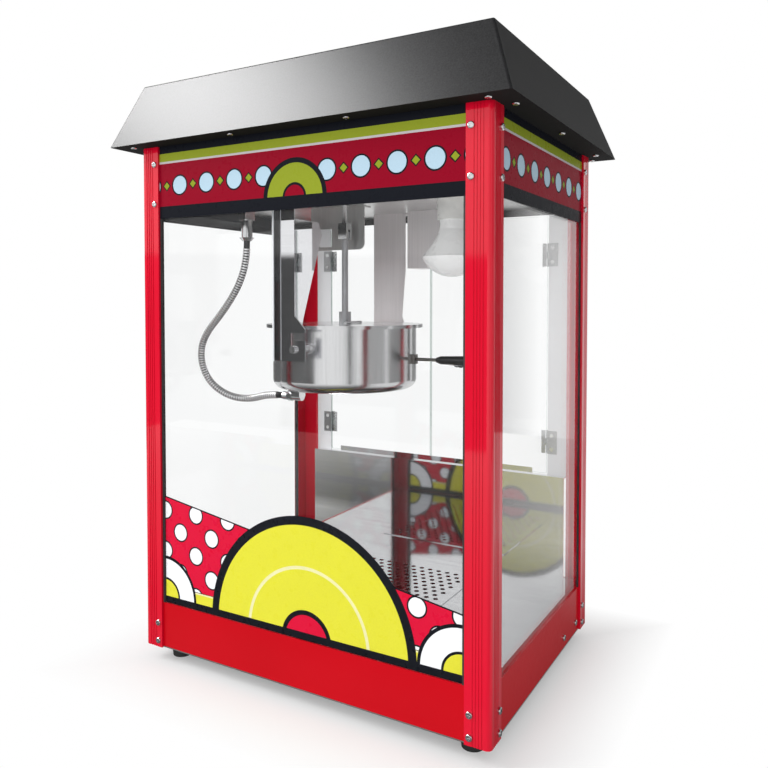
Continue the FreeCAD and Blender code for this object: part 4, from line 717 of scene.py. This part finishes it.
# Brightness that reflections see all round, as (share of the turn, brightness), from the left through front,
# right and back: near the horizon, and above it.
STUDIO_WALLS = [
    (0.0, 0.12), (0.089, 0.07), (0.20, 0.07), (0.214, 0.95), (0.317, 0.95), (0.351, 0.80), (0.353, 0.03),
    (0.367, 0.03), (0.369, 0.65), (0.380, 0.65), (0.390, 0.90), (0.417, 0.90), (0.45, 0.45), (0.523, 0.40),
    (0.528, 1.0), (0.536, 1.0), (0.543, 0.28), (0.617, 0.25), (0.626, 0.95), (0.656, 0.95), (0.664, 0.06),
    (0.6915, 0.06), (0.699, 1.0), (0.712, 1.0), (0.715, 0.2), (0.77, 0.3), (0.80, 0.85), (0.846, 0.85),
    (0.853, 0.12), (0.895, 0.12), (0.90, 0.9), (0.905, 0.12),
]
STUDIO_UPPER = [
    (0.0, 0.7), (0.06, 0.95), (0.21, 0.95), (0.30, 0.7), (0.351, 0.6), (0.353, 0.03), (0.367, 0.03),
    (0.369, 0.9), (0.42, 0.9), (0.45, 0.3), (0.617, 0.15), (0.626, 0.95), (0.656, 0.95), (0.664, 0.04),
    (0.6915, 0.04), (0.699, 1.0), (0.712, 1.0), (0.715, 0.05), (0.777, 0.05), (0.799, 0.9), (0.9, 0.9),
    (1.0, 0.7),
]
# Rises of a direction between which the upper studio, and then the dim ceiling, take over.
UPPER_FADE = (0.055, 0.063)
CEILING_FADE = (0.560, 0.700)
CEILING_GREY = (0.03, 0.03, 0.03)
# Even light of the room on the part.
ROOM_GREY = (0.5, 0.5, 0.5)


def make_world():
    """White to the eye; reflections see a studio with pale walls, dark gaps and a dim ceiling."""
    world = bpy.data.worlds.new("studio")
    bpy.context.scene.world = world
    world.use_nodes = True
    studio = Nodes(world.node_tree)
    direction = studio.axes(studio.node("ShaderNodeTexCoord").outputs["Generated"])
    turn = studio.maths("ARCTAN2", direction["Y"], direction["X"])
    share = studio.span(turn, 0.0, 1.0, -math.pi, math.pi)
    walls, upper = (
        studio.gradient(share, [(place, (level, level, level, 1.0)) for place, level in stops])["Color"]
        for stops in (STUDIO_WALLS, STUDIO_UPPER)
    )
    round_about = studio.mix(studio.span(direction["Z"], 0.0, 1.0, *UPPER_FADE), walls, upper)
    overhead = studio.span(direction["Z"], 0.0, 1.0, *CEILING_FADE)
    reflected = studio.mix(overhead, round_about, CEILING_GREY)
    path = studio.node("ShaderNodeLightPath").outputs
    lit = studio.mix(path["Is Glossy Ray"], ROOM_GREY, reflected)
    seen = studio.maths("MAXIMUM", path["Is Camera Ray"], path["Is Transmission Ray"])
    background = world.node_tree.nodes["Background"]
    studio.link(studio.mix(seen, lit, WHITE), background.inputs["Color"])


MACHINE_MIDDLE = (0.0, 0.0, 0.4)
ROOF_FRONT = (-0.08, -0.2, 0.73)


def area_light(name, place, target, size, power):
    """Rectangular lamp that looks at a target; its size is in metres and its power in watts."""
    data = bpy.data.lights.new(name, "AREA")
    data.shape = "RECTANGLE"
    data.size, data.size_y = size
    data.energy = power
    lamp = new_object(name, data)
    lamp.location = place
    lamp.rotation_euler = (Vector(place) - Vector(target)).to_track_quat("Z", "Y").to_euler()
    return lamp


def make_lights():
    """Key from the left, fill from the front, a weak side light, and a highlight on the roof's front."""
    area_light("key_light", (-2.0, -1.4, 2.0), MACHINE_MIDDLE, (1.5, 1.5), 46.0)
    fill = area_light("fill_light", (0.2, -2.8, 0.8), MACHINE_MIDDLE, (1.8, 1.0), 36.0)
    fill.visible_glossy = False
    area_light("side_light", (2.4, 0.8, 1.2), MACHINE_MIDDLE, (1.2, 1.6), 1.5)
    gloss = area_light("gloss_light", (-2.072, -1.543, 2.88), ROOF_FRONT, (1.26, 0.99), 83.0)
    gloss.visible_diffuse = False


def make_camera():
    """Camera at the photograph's view."""
    data = bpy.data.cameras.new("photo_camera")
    data.sensor_width = SENSOR_WIDTH
    data.lens = FOCAL_PIXELS / IMAGE_PIXELS * SENSOR_WIDTH
    data.shift_y = -PRINCIPAL_RISE_PIXELS / IMAGE_PIXELS
    camera = new_object("photo_camera", data)
    camera.location = CAMERA_PLACE
    camera.rotation_euler = (math.pi / 2 - CAMERA_DIP, 0.0, CAMERA_TURN)
    bpy.context.scene.camera = camera


bpy.context.scene.view_settings.view_transform = "Standard"
materials = make_materials()
dress_nodes(materials)
make_conduit(materials)
make_glass_print(materials)
make_floor()
make_world()
make_lights()
make_camera()
